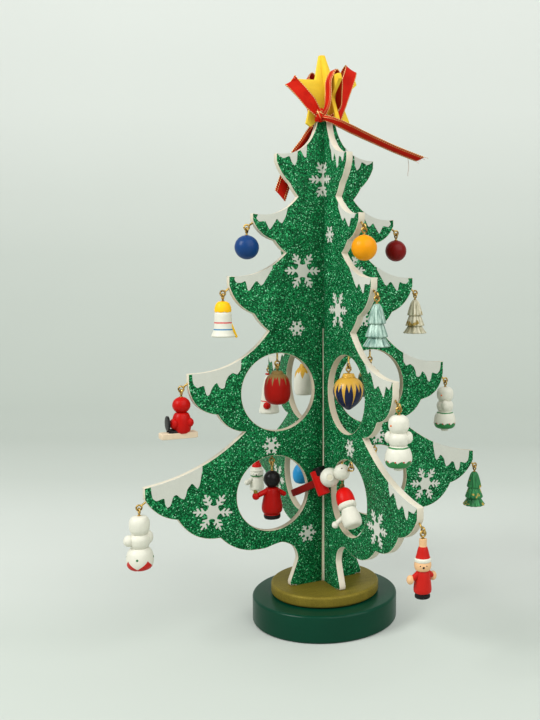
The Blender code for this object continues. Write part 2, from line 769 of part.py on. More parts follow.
def ornament(name, wing, site, thread, width, height, profile_shares, added_shares, colour):
    """A hanging ornament with its origin on its hinge and +X along its wing."""
    stem_end = BODY_DROP + thread
    body = figure(width, height, profile_shares, added_shares, stem_end)
    if site == "bear":
        down = Matrix.Translation((0.0, 0.0, -stem_end))
        up = Matrix.Translation((0.0, 0.0, stem_end))
        body = [move(piece, down @ Matrix.Rotation(BEAR_TILT, 4, "Y") @ up) for piece in body]
    made = combine(f"ornament_{name}", hanger(stem_end, STEM_BURY_SHARE * height) + body, "UNION")
    made.location = hinge_place(site, wing)
    made.rotation_euler = (0.0, 0.0, WING_ANGLES[wing])
    return finish(made, colour, PAINT_ROUGHNESS_SHARE)


def doll():
    """The ornament that lies across the corner between wings f and l, its bar in wing l's hole."""
    hinge = hinge_place("lower", "f")
    (_, hole_z), _ = hole_centre("lower")
    crossing = Vector((-DOLL_CROSSING, 0.0, hole_z - DOLL_CROSSING_DROP))
    way = crossing - hinge
    level = math.hypot(way.x, way.y)
    heading = math.atan2(-way.x, way.y)
    lift = math.atan2(level, -way.z)
    span = way.length + DOLL_BAR_PAST
    head_z = -BODY_DROP - DOLL_HEAD_RADIUS
    overlap = DOLL_TORSO_BURY_SHARE * DOLL_TORSO_RADIUS
    torso_z = head_z - DOLL_HEAD_RADIUS - DOLL_TORSO_RADIUS + overlap
    barrel_z = torso_z - DOLL_TORSO_RADIUS - DOLL_BARREL_RADIUS + 2 * overlap
    head_size = (DOLL_HEAD_RADIUS, DOLL_HEAD_RADIUS, DOLL_HEAD_RADIUS)
    torso_size = (DOLL_TORSO_RADIUS, DOLL_TORSO_RADIUS, DOLL_TORSO_RADIUS)
    bar_length = span + barrel_z
    bar_size = (2 * DOLL_BAR_HALF, 2 * DOLL_BAR_HALF, bar_length)
    pieces = [
        rod((0.0, 0.0, -RING_RADIUS - RING_HANG), (0.0, 0.0, head_z), SHANK_RADIUS, SHANK_SIDES),
        ball((0.0, 0.0, head_z), head_size),
        ball((0.0, 0.0, torso_z), torso_size),
        rod((0.0, DOLL_BARREL_UP, barrel_z), (0.0, -DOLL_BARREL_DOWN, barrel_z), DOLL_BARREL_RADIUS),
        block((0.0, 0.0, barrel_z - bar_length / 2), bar_size),
    ]
    for piece in pieces:
        move(piece, Matrix.Rotation(lift, 4, "X"))
    ring_axis = (math.sin(heading), math.cos(heading), 0.0)
    pieces.append(ring((0.0, 0.0, -RING_HANG), ring_axis, RING_RADIUS, WIRE_RADIUS))
    neck_end = Matrix.Rotation(lift, 4, "X") @ Vector((0.0, 0.0, head_z))
    pieces.append(rod((0.0, 0.0, -RING_HANG - RING_RADIUS), neck_end, SHANK_RADIUS, SHANK_SIDES))
    made = combine("ornament_doll", pieces, "UNION")
    made.location = hinge
    made.rotation_euler = (0.0, 0.0, heading)
    return finish(made, WHITE, PAINT_ROUGHNESS_SHARE)


def star_plate(name, across_angle, slot_up):
    """One plate of the star, slotted half way, then leaned about Y with the other."""
    shape = bmesh.new()
    corners = []
    for point in range(STAR_POINTS):
        angle = math.radians(90) + math.tau * point / STAR_POINTS
        half_tip = math.asin(STAR_TIP_HALF / STAR_RADIUS)
        valley = angle + math.pi / STAR_POINTS
        for reach, turn in ((STAR_RADIUS, angle - half_tip), (STAR_RADIUS, angle + half_tip)):
            corners.append((reach * math.cos(turn), reach * math.sin(turn)))
        inner = STAR_INNER_SHARE * STAR_RADIUS
        corners.append((inner * math.cos(valley), inner * math.sin(valley)))
    face = shape.faces.new([shape.verts.new((x, -STAR_THICK / 2, z)) for x, z in corners])
    extruded = bmesh.ops.extrude_face_region(shape, geom=[face])
    moved = [part for part in extruded["geom"] if isinstance(part, bmesh.types.BMVert)]
    bmesh.ops.translate(shape, vec=(0.0, STAR_THICK, 0.0), verts=moved)
    blank = add_object(name, shape)
    slot_half = STAR_THICK / 2 + GAP
    end = STAR_RADIUS + OVERRUN
    low, high = (0.0, end) if slot_up else (-end, GAP)
    size = (2 * slot_half, STAR_THICK + 2 * OVERRUN, high - low)
    plate = combine(name, [blank, block((0.0, 0.0, (low + high) / 2), size)], "DIFFERENCE")
    move(plate, Matrix.Rotation(across_angle, 4, "Z"))
    plate.location = (0.0, 0.0, STAR_Z)
    plate.rotation_euler = (0.0, STAR_LEAN, 0.0)
    return plate


def smooth_route(points):
    """More points between the route's own, on a smooth curve through them."""
    ends = [2 * points[0] - points[1], *points, 2 * points[-1] - points[-2]]
    route = []
    for index in range(1, len(ends) - 2):
        before, start, end, after = ends[index - 1 : index + 3]
        for step in range(ROUTE_STEPS):
            part = step / ROUTE_STEPS
            bend = (2 * before - 5 * start + 4 * end - after) * part**2
            twist = (3 * start - before - 3 * end + after) * part**3
            route.append((2 * start + (end - before) * part + bend + twist) / 2)
    route.append(points[-1])
    return route


def strip(shares, gather_start, gather_end):
    """A flat ribbon along its route, narrower where it is gathered."""
    width_way, places = Vector(shares[0]), shares[1]
    middle = Vector((0.0, 0.0, BAND_Z))
    route = smooth_route([middle + BOW_REACH * Vector(place) for place in places])
    shape = bmesh.new()
    sections = []
    for index, point in enumerate(route):
        along = (route[min(index + 1, len(route) - 1)] - route[max(index - 1, 0)]).normalized()
        across = (width_way - along * width_way.dot(along)).normalized()
        normal = along.cross(across)
        half = RIBBON_HALF
        reach_share = index / (len(route) - 1)
        if gather_start:
            half = min(half, RIBBON_HALF * (RIBBON_GATHER_SHARE + 3 * reach_share))
        if gather_end:
            half = min(half, RIBBON_HALF * (RIBBON_GATHER_SHARE + 3 * (1 - reach_share)))
        corners = []
        for side, layer in ((-1, -1), (1, -1), (1, 1), (-1, 1)):
            corner = point + across * half * side + normal * RIBBON_THICK / 2 * layer
            corners.append(shape.verts.new(corner))
        sections.append(corners)
    for near, far in zip(sections, sections[1:]):
        for side in range(4):
            after = (side + 1) % 4
            shape.faces.new((near[side], near[after], far[after], far[side]))
    shape.faces.new(sections[0])
    shape.faces.new(sections[-1])
    return add_object("strip", shape)


def ribbon():
    """The bow as one tied ribbon."""
    inner, outer = BAND_RADIUS - BAND_THICK / 2, BAND_RADIUS + BAND_THICK / 2
    half = BAND_HEIGHT / 2
    shape = bmesh.new()
    profile = ((inner, half), (outer, half), (outer, -half), (inner, -half))
    corners = [shape.verts.new((across, 0.0, BAND_Z + up)) for across, up in profile]
    for near, far in zip(corners, corners[1:] + corners[:1]):
        shape.edges.new((near, far))
    bmesh.ops.spin(
        shape,
        geom=[*shape.verts, *shape.edges],
        cent=(0.0, 0.0, 0.0),
        axis=(0.0, 0.0, 1.0),
        angle=math.tau,
        steps=BAND_SEGMENTS,
        use_merge=True,
    )
    bmesh.ops.remove_doubles(shape, verts=shape.verts, dist=GAP / BAND_SEGMENTS)
    band = add_object("band", shape)
    beside = -BAND_RADIUS * math.sqrt(1 / 2)
    knot_centre = (beside, beside, BAND_Z + KNOT_HEIGHT)
    pieces = [band, ball(knot_centre, (KNOT_RADIUS, KNOT_RADIUS, KNOT_HEIGHT + half))]
    for shares in (LOOP_L_SHARES, LOOP_F_SHARES, LOOP_R_SHARES, LOOP_B_SHARES):
        pieces.append(strip(shares, True, True))
    for shares in (TAIL_R_SHARES, TAIL_L_SHARES):
        pieces.append(strip(shares, True, False))
    return combine("ribbon_bow", pieces, "UNION")


# The base
finish(disc("base_disc", BASE_RADIUS, 0.0, BASE_THICK), GREEN, MATT_ROUGHNESS_SHARE)
collar_blank = disc("collar_blank", COLLAR_RADIUS, COLLAR_BOTTOM, COLLAR_THICK)
mortise_size = (2 * (TENON_HALF + GAP), 2 * SLOT_HALF, TENON_DEPTH + OVERRUN)
mortise_z = COLLAR_TOP - TENON_DEPTH + mortise_size[2] / 2
mortise_1 = block((0.0, 0.0, mortise_z), mortise_size)
mortise_2 = block((0.0, 0.0, mortise_z), (mortise_size[1], mortise_size[0], mortise_size[2]))
collar = combine("collar_disc", [collar_blank, mortise_1, mortise_2], "DIFFERENCE")
finish(collar, BRASS, metallic=GILT_METAL_SHARE)

# The panels
finish(panel("panel_1", True, ("r", "l")), GREEN, MATT_ROUGHNESS_SHARE, smooth=False)
panel_2 = finish(panel("panel_2", False, ("b", "f")), GREEN, MATT_ROUGHNESS_SHARE, smooth=False)
panel_2.rotation_euler = (0.0, 0.0, math.radians(90))

# The screw eyes
tip_eye = screw_eye_mesh("2")
upper_eye = screw_eye_mesh("upper")
lower_eye = screw_eye_mesh("lower")
for wing, angle in WING_ANGLES.items():
    for site in WING_SITES[wing]:
        source = {"upper": upper_eye, "lower": lower_eye, "bear": lower_eye}.get(site, tip_eye)
        eye = bpy.data.objects.new(f"eye_{wing}_{SITE_LABELS.get(site, site)}", source.data)
        bpy.context.scene.collection.objects.link(eye)
        eye.location = hinge_place(site, wing)
        eye.rotation_euler = (0.0, 0.0, angle)
for source in (tip_eye, upper_eye, lower_eye):
    finish(source, BRASS, PAINT_ROUGHNESS_SHARE, WIRE_METAL_SHARE)
    bpy.data.objects.remove(source, do_unlink=True)

# The ornaments
for row in ORNAMENTS:
    ornament(*row)
doll()

# The star and the bow
finish(star_plate("star_plate_1", 0.0, False), YELLOW, smooth=False)
finish(star_plate("star_plate_2", math.radians(90), True), YELLOW, smooth=False)
finish(ribbon(), RED, CLOTH_ROUGHNESS_SHARE)
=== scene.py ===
import json
import math

import bmesh
import bpy
import numpy as np
from mathutils import Matrix, Vector


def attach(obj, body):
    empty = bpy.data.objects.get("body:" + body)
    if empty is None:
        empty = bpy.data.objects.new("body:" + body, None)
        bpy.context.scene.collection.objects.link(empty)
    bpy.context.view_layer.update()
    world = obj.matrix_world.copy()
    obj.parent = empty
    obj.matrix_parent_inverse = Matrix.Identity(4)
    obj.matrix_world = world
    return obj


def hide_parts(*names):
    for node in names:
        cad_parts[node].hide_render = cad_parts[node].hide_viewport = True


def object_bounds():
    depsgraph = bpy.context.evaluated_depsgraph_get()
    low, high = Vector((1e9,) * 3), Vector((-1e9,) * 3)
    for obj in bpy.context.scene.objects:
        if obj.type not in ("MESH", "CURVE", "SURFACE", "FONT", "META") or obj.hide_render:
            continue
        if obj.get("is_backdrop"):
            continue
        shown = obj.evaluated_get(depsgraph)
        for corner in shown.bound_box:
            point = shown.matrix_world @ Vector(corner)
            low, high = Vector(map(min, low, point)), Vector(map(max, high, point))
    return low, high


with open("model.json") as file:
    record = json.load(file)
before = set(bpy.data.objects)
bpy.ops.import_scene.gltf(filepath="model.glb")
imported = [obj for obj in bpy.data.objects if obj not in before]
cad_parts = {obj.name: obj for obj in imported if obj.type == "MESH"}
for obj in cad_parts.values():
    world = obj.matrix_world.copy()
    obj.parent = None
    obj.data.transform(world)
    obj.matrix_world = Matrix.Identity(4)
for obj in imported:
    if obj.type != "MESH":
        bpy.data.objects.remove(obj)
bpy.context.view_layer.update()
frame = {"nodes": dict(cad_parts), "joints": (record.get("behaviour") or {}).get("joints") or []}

# Lengths in this file are millimetres until a shape is built. Wings: l to -X, f to -Y, r to +X, b to +Y.
MM = 0.001
WING_ANGLES = {"r": 0.0, "b": 90.0, "l": 180.0, "f": -90.0}
# Where the camera stands, as an angle in each wing's own frame, so that painted faces look at it
CAMERA_SIDE = {"l": 64.0, "f": -26.0, "r": -116.0, "b": 154.0}
CAMERA_PLACE = np.array([-204.4, -420.4, 185.9])
HINGES = {joint["child"]: np.array(joint["pos_m"]) / MM for joint in frame["joints"]}


def tone(red, green, blue):
    """A colour given as it looks on a screen, 0 to 255, as the linear colour that a shader takes."""
    share = np.array([red, green, blue]) / 255
    linear = np.where(share <= 0.04045, share / 12.92, ((share + 0.055) / 1.055) ** 2.4)
    return tuple(float(value) for value in linear)


# Materials


class Mixer:
    """Builds one procedural material; a value may be a number, a colour or another node's output."""

    def __init__(self, name, roughness=0.45, metallic=0.0, coat=0.0, coat_roughness=0.1, specular=0.1):
        self.material = bpy.data.materials.new(name)
        self.material.use_nodes = True
        self.tree = self.material.node_tree
        self.shader = self.tree.nodes["Principled BSDF"]
        self.put(self.shader.inputs["Roughness"], roughness)
        self.put(self.shader.inputs["Metallic"], metallic)
        self.put(self.shader.inputs["Specular IOR Level"], specular)
        self.put(self.shader.inputs["Coat Weight"], coat)
        self.put(self.shader.inputs["Coat Roughness"], coat_roughness)
        self.place = self.node("ShaderNodeTexCoord").outputs["Object"]

    def node(self, kind, **settings):
        made = self.tree.nodes.new(kind)
        for key, value in settings.items():
            setattr(made, key, value)
        return made

    def put(self, socket, value):
        if isinstance(value, bpy.types.NodeSocket):
            self.tree.links.new(value, socket)
        elif isinstance(value, tuple) and len(value) == 3 and socket.type == "RGBA":
            socket.default_value = (*value, 1.0)
        else:
            socket.default_value = value

    def math(self, operation, *values, clamp=False):
        made = self.node("ShaderNodeMath", operation=operation, use_clamp=clamp)
        for socket, value in zip(made.inputs, values):
            self.put(socket, value)
        return made.outputs[0]

    def vector(self, operation, *values):
        made = self.node("ShaderNodeVectorMath", operation=operation)
        for socket, value in zip(made.inputs, values):
            self.put(socket, value)
        return made.outputs[0]

    def parts(self, value):
        made = self.node("ShaderNodeSeparateXYZ")
        self.put(made.inputs[0], value)
        return made.outputs[0], made.outputs[1], made.outputs[2]

    def pattern(self):
        """The surface's own pattern: the share round or across it, and the share or length down it."""
        return self.node("ShaderNodeUVMap", uv_map="pattern").outputs[0]

    def stretched(self, scale, place=None):
        """The place on the object, or another, stretched."""
        made = self.node("ShaderNodeMapping")
        self.put(made.inputs["Vector"], place or self.place)
        made.inputs["Scale"].default_value = scale
        return made.outputs[0]

    def noise(self, scale, detail=3.0, rough=0.55, place=None):
        made = self.node("ShaderNodeTexNoise")
        self.put(made.inputs["Vector"], place or self.place)
        made.inputs["Scale"].default_value = scale
        made.inputs["Detail"].default_value = detail
        made.inputs["Roughness"].default_value = rough
        return made.outputs[0]

    def cells(self, scale):
        """A random colour for each small cell."""
        made = self.node("ShaderNodeTexVoronoi")
        self.put(made.inputs["Vector"], self.place)
        made.inputs["Scale"].default_value = scale
        return made.outputs["Color"]

    def ramp(self, factor, stops):
        """A colour for each value of the factor, from (position, colour) stops."""
        made = self.node("ShaderNodeValToRGB")
        self.put(made.inputs[0], factor)
        elements = made.color_ramp.elements
        while len(elements) < len(stops):
            elements.new(1.0)
        for element, (position, colour) in zip(elements, stops):
            element.position = position
            element.color = (*colour, 1.0)
        return made.outputs[0]

    def grey(self, factor, low, high):
        """The factor from 0 to 1 as a number from low to high."""
        made = self.node("ShaderNodeMapRange")
        self.put(made.inputs["Value"], factor)
        made.inputs["To Min"].default_value = low
        made.inputs["To Max"].default_value = high
        return made.outputs[0]

    def mix(self, factor, first, second, way="MIX"):
        made = self.node("ShaderNodeMix", data_type="RGBA", blend_type=way)
        self.put(made.inputs[0], factor)
        self.put(made.inputs[6], first)
        self.put(made.inputs[7], second)
        return made.outputs[2]

    def shaded(self, colour, factor, low, high):
        """The colour times a grey between low and high."""
        amount = self.grey(factor, low, high)
        made = self.node("ShaderNodeCombineColor")
        for socket in made.inputs:
            self.put(socket, amount)
        return self.mix(1.0, colour, made.outputs[0], "MULTIPLY")

    def bump(self, height, distance, strength=1.0, normal=None):
        made = self.node("ShaderNodeBump")
        self.put(made.inputs["Height"], height)
        made.inputs["Distance"].default_value = distance * MM
        made.inputs["Strength"].default_value = strength
        if normal is not None:
            self.put(made.inputs["Normal"], normal)
        return made.outputs[0]

    def done(self, colour, normal=None, roughness=None):
        self.put(self.shader.inputs["Base Color"], colour)
        if normal is not None:
            self.put(self.shader.inputs["Normal"], normal)
        if roughness is not None:
            self.put(self.shader.inputs["Roughness"], roughness)
        return self.material


# The cream strip along the slot: its top, its half width there and what each mm further down adds to that
STRIP_TOP, STRIP_HALF, STRIP_SPREAD = 158.0, 3.5, 1.05 / 137


def glitter(name):
    """Green glitter paint: small flakes, each with its own brightness and its own tilt, over uneven paint.
    The palest flakes, near white, are painted glints; the greens below them are the flakes' own tone.
    """
    made = Mixer(name, roughness=0.36, metallic=0.15)
    flakes = made.cells(2100.0)
    chance, lean, _ = made.parts(flakes)
    # The top stops paint the palest flakes near white as painted glints; the lower stops are the flakes' own
    # greens
    stops = (
        (0.0, tone(0, 46, 22)),
        (0.30, tone(4, 70, 36)),
        (0.60, tone(11, 102, 55)),
        (0.84, tone(24, 140, 78)),
        (0.95, tone(72, 190, 122)),
        (1.0, tone(176, 244, 202)),
    )
    colour = made.shaded(made.ramp(chance, stops), made.noise(160.0, 3.0), 0.72, 1.22)
    across, along, up = made.parts(made.place)
    beside = made.math("ADD", made.math("ABSOLUTE", across), made.math("ABSOLUTE", along))
    below = made.math("SUBTRACT", STRIP_TOP * MM, up)
    width = made.math("MULTIPLY_ADD", below, STRIP_SPREAD, STRIP_HALF * MM)
    strip = made.math("LESS_THAN", beside, width)
    strip = made.math("MULTIPLY", strip, made.math("GREATER_THAN", below, 0.0))
    cream = made.shaded(tone(250, 243, 220), made.noise(500.0), 0.8, 1.1)
    tilt = made.vector("SCALE", made.vector("SUBTRACT", flakes, (0.5, 0.5, 0.5)))
    tilt.node.inputs["Scale"].default_value = 0.75
    facing = made.node("ShaderNodeNewGeometry").outputs["Normal"]
    tilted = made.vector("NORMALIZE", made.vector("ADD", facing, tilt))
    rough = made.math("MAXIMUM", made.grey(lean, 0.22, 0.5), made.math("MULTIPLY", strip, 0.6))
    return made.done(made.mix(strip, colour, cream), tilted, rough)


def bare_edge(name, colour, grain=0.14):
    """The pale paint on sawn edges: faint saw lines, soft stains and a fine tooth."""
    made = Mixer(name, roughness=0.62)
    stain = made.noise(120.0, 4.0)
    lines = made.noise(900.0, 2.0, place=made.stretched((1.0, 1.0, 0.12)))
    shade = made.shaded(made.shaded(colour, stain, 1 - grain, 1.04), lines, 0.93, 1.03)
    return made.done(shade, made.bump(lines, 0.05, 0.5))


def snow_paint(name, colour):
    """Thick white paint with a fine grain and softer worn places."""
    made = Mixer(name, roughness=0.58)
    grain = made.noise(1500.0, 3.0, 0.7)
    worn = made.noise(220.0, 3.0)
    shade = made.shaded(made.shaded(colour, worn, 0.92, 1.02), grain, 0.88, 1.05)
    return made.done(shade, made.bump(grain, 0.06, 0.6))


def lacquer(name, colour, roughness):
    """Glossy paint on turned wood: a soft ripple under a clear coat, with a fine grain."""
    made = Mixer(name, roughness=roughness, coat=0.12, coat_roughness=0.07, specular=0.08)
    ripple = made.noise(45.0, 2.0)
    fine = made.noise(700.0, 2.0)
    shade = made.shaded(made.shaded(colour, ripple, 0.86, 1.1), fine, 0.96, 1.03)
    normal = made.bump(fine, 0.012, 0.4, made.bump(ripple, 0.25, 0.35))
    return made.done(shade, normal, made.grey(fine, roughness - 0.03, roughness + 0.06))


def gilt(name, bright, dull, roughness=0.42, metallic=0.5):
    """Gold paint over wood grain: darker in the pores, with specks of bronze powder."""
    made = Mixer(name, roughness=roughness, metallic=metallic)
    grain = made.noise(90.0, 4.0, place=made.stretched((1.0, 6.0, 1.0)))
    powder, _, _ = made.parts(made.cells(3800.0))
    colour = made.mix(made.grey(grain, 0.1, 0.9), bright, dull)
    colour = made.shaded(colour, powder, 0.8, 1.18)
    normal = made.bump(grain, 0.08, 0.4, made.bump(powder, 0.02, 0.5))
    return made.done(colour, normal)


def brass(name, bright, dull, roughness=0.3):
    """Plated wire: bright metal that has darkened in patches."""
    made = Mixer(name, roughness=roughness, metallic=0.9)
    patch = made.noise(650.0, 3.0, 0.6)
    colour = made.ramp(patch, ((0.32, dull), (0.62, bright)))
    rough = made.grey(patch, roughness + 0.15, roughness - 0.05)
    return made.done(colour, made.bump(patch, 0.03, 0.5), rough)


def paint(name, colour, marks=(), roughness=0.38, coat=0.06):
    """Hand-laid paint with marks. A mark covers where its edge, as a share of the way down, is passed:
    above (edge), below (edge), band (from, to), and drips or petals (edge, length, count, sharpness, turn),
    whose edge swings down once for each count round the shape."""
    made = Mixer(name, roughness=roughness, coat=coat, coat_roughness=0.16)
    brush = made.noise(330.0, 3.0)
    fine = made.noise(1400.0, 2.0)
    if marks:
        round_share, down, _ = made.parts(made.pattern())
        down = made.math("ADD", down, made.math("MULTIPLY_ADD", brush, 0.016, -0.008))
    for mark in marks:
        kind, cover = mark[0], mark[-1]
        if kind == "band":
            past = made.math("MULTIPLY_ADD", made.math("SUBTRACT", down, mark[1]), 220.0, 0.5, clamp=True)
            before = made.math("MULTIPLY_ADD", made.math("SUBTRACT", mark[2], down), 220.0, 0.5, clamp=True)
            share = made.math("MULTIPLY", past, before)
        else:
            edge = mark[1]
            if kind in ("drips", "petals"):
                _, edge, length, count, sharp, turn, _ = mark
                swing = made.math("MULTIPLY_ADD", round_share, float(count), turn)
                saw = made.math("ABSOLUTE", made.math("MULTIPLY_ADD", made.math("FRACT", swing), 2.0, -1.0))
                drop = made.math("POWER", made.math("SUBTRACT", 1.0, saw), sharp)
                edge = made.math("MULTIPLY_ADD", drop, length, edge)
            covered = kind in ("above", "drips")
            apart = (edge, down) if covered else (down, edge)
            share = made.math("MULTIPLY_ADD", made.math("SUBTRACT", *apart), 220.0, 0.5, clamp=True)
        colour = made.mix(share, colour, cover)
    shade = made.shaded(made.shaded(colour, brush, 0.9, 1.04), fine, 0.95, 1.03)
    normal = made.bump(fine, 0.02, 0.35, made.bump(brush, 0.12, 0.3))
    return made.done(shade, normal, made.grey(brush, roughness - 0.06, roughness + 0.1))


def streaked(name, light, dark, patches=None):
    """Pearly paint in upright streaks, worn through to a darker tone; patches of a second paint may lie
    on it."""
    made = Mixer(name, roughness=0.34, metallic=0.15, coat=0.1, coat_roughness=0.15)
    streak = made.noise(1.0, 3.0, 0.6, place=made.stretched((26.0, 3.0, 1.0), made.pattern()))
    colour = made.ramp(streak, ((0.3, dark), (0.62, light)))
    if patches is not None:
        spot = made.noise(260.0, 2.0)
        colour = made.mix(made.math("MULTIPLY_ADD", spot, 14.0, -8.2, clamp=True), colour, patches)
    fine = made.noise(1500.0, 2.0)
    return made.done(made.shaded(colour, fine, 0.86, 1.08), made.bump(streak, 0.12, 0.5))


def satin(name, colour, deep):
    """Woven ribbon: fine ribs across the width and a finer weave, over patches of a deeper red; its gold
    threads are strands of their own.
    """
    made = Mixer(name, roughness=0.46, specular=0.05)
    across, along, _ = made.parts(made.pattern())
    rib = made.math("SINE", made.math("MULTIPLY", along, 2 * math.pi / 0.42))
    weave = made.math("SINE", made.math("MULTIPLY", across, 2 * math.pi * 16))
    cloth = made.mix(made.grey(made.noise(180.0, 3.0), 0.0, 1.0), colour, deep)
    cloth = made.shaded(cloth, made.math("MULTIPLY_ADD", rib, 0.5, 0.5), 0.86, 1.06)
    height = made.math("ADD", made.math("MULTIPLY", rib, 0.6), made.math("MULTIPLY", weave, 0.4))
    return made.done(cloth, made.bump(height, 0.05, 0.6))


def gold_thread(name, bright, dark):
    """Twisted metallic thread: bright turns with dark gaps between them along its length."""
    made = Mixer(name, roughness=0.32, metallic=0.65)
    across, along, _ = made.parts(made.pattern())
    turn = made.math("MULTIPLY", along, 2 * math.pi / 1.15)
    turn = made.math("ADD", turn, made.math("MULTIPLY", across, 6.3))
    wave = made.math("MULTIPLY_ADD", made.math("SINE", turn), 0.5, 0.5)
    return made.done(made.ramp(wave, ((0.3, dark), (0.7, bright))), made.bump(wave, 0.12, 0.7))


# Surfaces, each a grid of points in rows and columns


def smooth(points, steps=6):
    """Points on a smooth curve through the given ones; a point given twice is a corner.
    Between b and c, with a before and d after: half of 2b + (c-a)t + (2a-5b+4c-d)t^2 + (3b-a-3c+d)t^3."""
    given = np.asarray(points, float)
    given = np.vstack([given[:1], given, given[-1:]])
    spans = np.stack([given[:-3], given[1:-2], given[2:-1], given[3:]])
    spans = spans[:, np.linalg.norm(spans[2] - spans[1], axis=1) > 1e-6]
    a, b, c, d = spans[:, :, None]
    t = (np.arange(steps) / steps)[None, :, None]
    curve = (2 * b + (c - a) * t + (2 * a - 5 * b + 4 * c - d) * t**2 + (3 * b - a - 3 * c + d) * t**3) / 2
    return np.vstack([curve.reshape(-1, given.shape[1]), given[-1:]])


def profile(shares, width, height, top=0.0, steps=6):
    """A smooth outline from shares of the half width and of the height down, closed at the axis."""
    rows = np.array([(0.0, shares[0][1]), *shares, (0.0, shares[-1][1])])
    curve = smooth(rows, steps)
    return np.stack([np.maximum(curve[:, 0], 0) * width / 2, top - curve[:, 1] * height], 1)


def revolve(outline, facing=0.0, segments=48, flutes=0, depth=0.0):
    """A turned surface: x = r cos a and y = r sin a, once round from behind the facing angle. Flutes cut in:
    r becomes r (1 - depth (1 - cos(flutes a)) / 2)."""
    angle = math.radians(facing - 180) + np.linspace(0, 2 * np.pi, segments + 1)
    radius = outline[:, :1] * (1 - depth * (1 - np.cos(flutes * angle)) / 2)
    height = np.broadcast_to(outline[:, 1:], radius.shape)
    return np.stack([radius * np.cos(angle), radius * np.sin(angle), height], -1)


def down_shares(outline):
    """How far down each row lies, as a share of the outline's height."""
    high, low = outline[:, 1].max(), outline[:, 1].min()
    return (high - outline[:, 1]) / (high - low)


def basis(way):
    """Three square directions as columns, the last along the way."""
    way = np.asarray(way, float) / np.linalg.norm(way)
    helper = np.array([0.0, 0.0, 1.0]) if abs(way[2]) < 0.9 else np.array([1.0, 0.0, 0.0])
    side = np.cross(helper, way)
    side /= np.linalg.norm(side)
    return np.stack([side, np.cross(way, side), way], 1)


def globe(centre, radii, facing=0.0, segments=40, rows=25):
    """An ellipsoid: r = sin b and z = cos b for b from 0 to a half turn, stretched by the radii."""
    slope = np.linspace(0, np.pi, rows)
    unit = revolve(np.stack([np.sin(slope), np.cos(slope)], 1), facing, segments)
    return unit * np.asarray(radii, float) + np.asarray(centre, float)


def limb(start, end, radius, end_radius=None, dome=1.0, segments=24):
    """A round bar with domed ends: the radius runs evenly from start to end, and each end is a part of a
    ball, dome times its radius high."""
    start, end = np.asarray(start, float), np.asarray(end, float)
    end_radius = radius if end_radius is None else end_radius
    length = np.linalg.norm(end - start)
    quarter = np.linspace(0, np.pi / 2, 7)
    first = np.stack([radius * np.sin(quarter), -dome * radius * np.cos(quarter)], 1)
    last = np.stack([end_radius * np.cos(quarter), length + dome * end_radius * np.sin(quarter)], 1)
    grid = revolve(np.vstack([first, last]), 0.0, segments)
    return grid @ basis(end - start).T + start


def hoop(centre, axis, radius, wire, segments=32, sides=12):
    """A wire ring: the wire's circle carried round the axis at the radius."""
    round_ring = np.linspace(0, 2 * np.pi, segments + 1)[:, None]
    round_wire = np.linspace(0, 2 * np.pi, sides + 1)[None, :]
    reach = radius + wire * np.cos(round_wire)
    grid = np.stack([reach * np.cos(round_ring), reach * np.sin(round_ring),
                     wire * np.sin(round_wire) + 0 * round_ring], -1)
    return grid @ basis(axis).T + np.asarray(centre, float)


def slab(centre, size, ease=0.16, segments=40, rows=20):
    """A block with eased edges: an ellipsoid whose sines and cosines are raised to the power ease."""
    def eased(value):
        return np.sign(value) * np.abs(value) ** ease
    slope = np.linspace(0, np.pi, rows)[:, None]
    angle = np.linspace(0, 2 * np.pi, segments + 1)[None, :] + np.pi / segments
    across, along, up = np.asarray(size, float) / 2
    flat = eased(np.sin(slope) * (slope % np.pi > 1e-9))
    grid = np.stack([across * flat * eased(np.cos(angle)), along * flat * eased(np.sin(angle)),
                     up * eased(np.cos(slope)) + 0 * angle], -1)
    return grid + np.asarray(centre, float)


def tube(path, radius, sides=8):
    """A thread: a circle carried along the path, square to it, drawn to a point at both ends."""
    path = np.asarray(path, float)
    along = np.gradient(path, axis=0)
    along /= np.linalg.norm(along, axis=1)[:, None]
    side = np.cross(along, np.array([0.31, 0.17, 0.93]))
    side /= np.linalg.norm(side, axis=1)[:, None]
    other = np.cross(along, side)
    angle = np.linspace(0, 2 * np.pi, sides + 1)
    ring = np.cos(angle)[None, :, None] * side[:, None] + np.sin(angle)[None, :, None] * other[:, None]
    grid = path[:, None] + radius * ring
    first = np.broadcast_to(path[0], grid[:1].shape)
    last = np.broadcast_to(path[-1], grid[:1].shape)
    return np.concatenate([first, grid, last])


def lengths(path):
    """How far along the path each point lies."""
    steps = np.linalg.norm(np.diff(np.asarray(path, float), axis=0), axis=1)
    return np.concatenate([[0.0], np.cumsum(steps)])


def turned_by(grid, axis, degrees, centre=(0.0, 0.0, 0.0)):
    """The grid turned about an axis through the centre."""
    turn = np.array(Matrix.Rotation(math.radians(degrees), 3, Vector(axis)))
    return (grid - np.asarray(centre)) @ turn.T + np.asarray(centre)


def linked(name, data):
    """A new object in the scene."""
    made = bpy.data.objects.new(name, data)
    bpy.context.scene.collection.objects.link(made)
    return made


def seamed(mesh):
    """Closes the mesh's seams and turns its faces outward."""
    whole = bmesh.new()
    whole.from_mesh(mesh)
    bmesh.ops.remove_doubles(whole, verts=whole.verts, dist=0.002 * MM)
    bmesh.ops.recalc_face_normals(whole, faces=whole.faces)
    whole.to_mesh(mesh)
    whole.free()


def finished(mesh, materials, sharp):
    """Gives the mesh its materials and smooth faces, with the edges past the sharp angle left sharp."""
    for material in materials:
        mesh.materials.append(material)
    mesh.shade_smooth()
    mesh.set_sharp_from_angle(angle=math.radians(sharp))


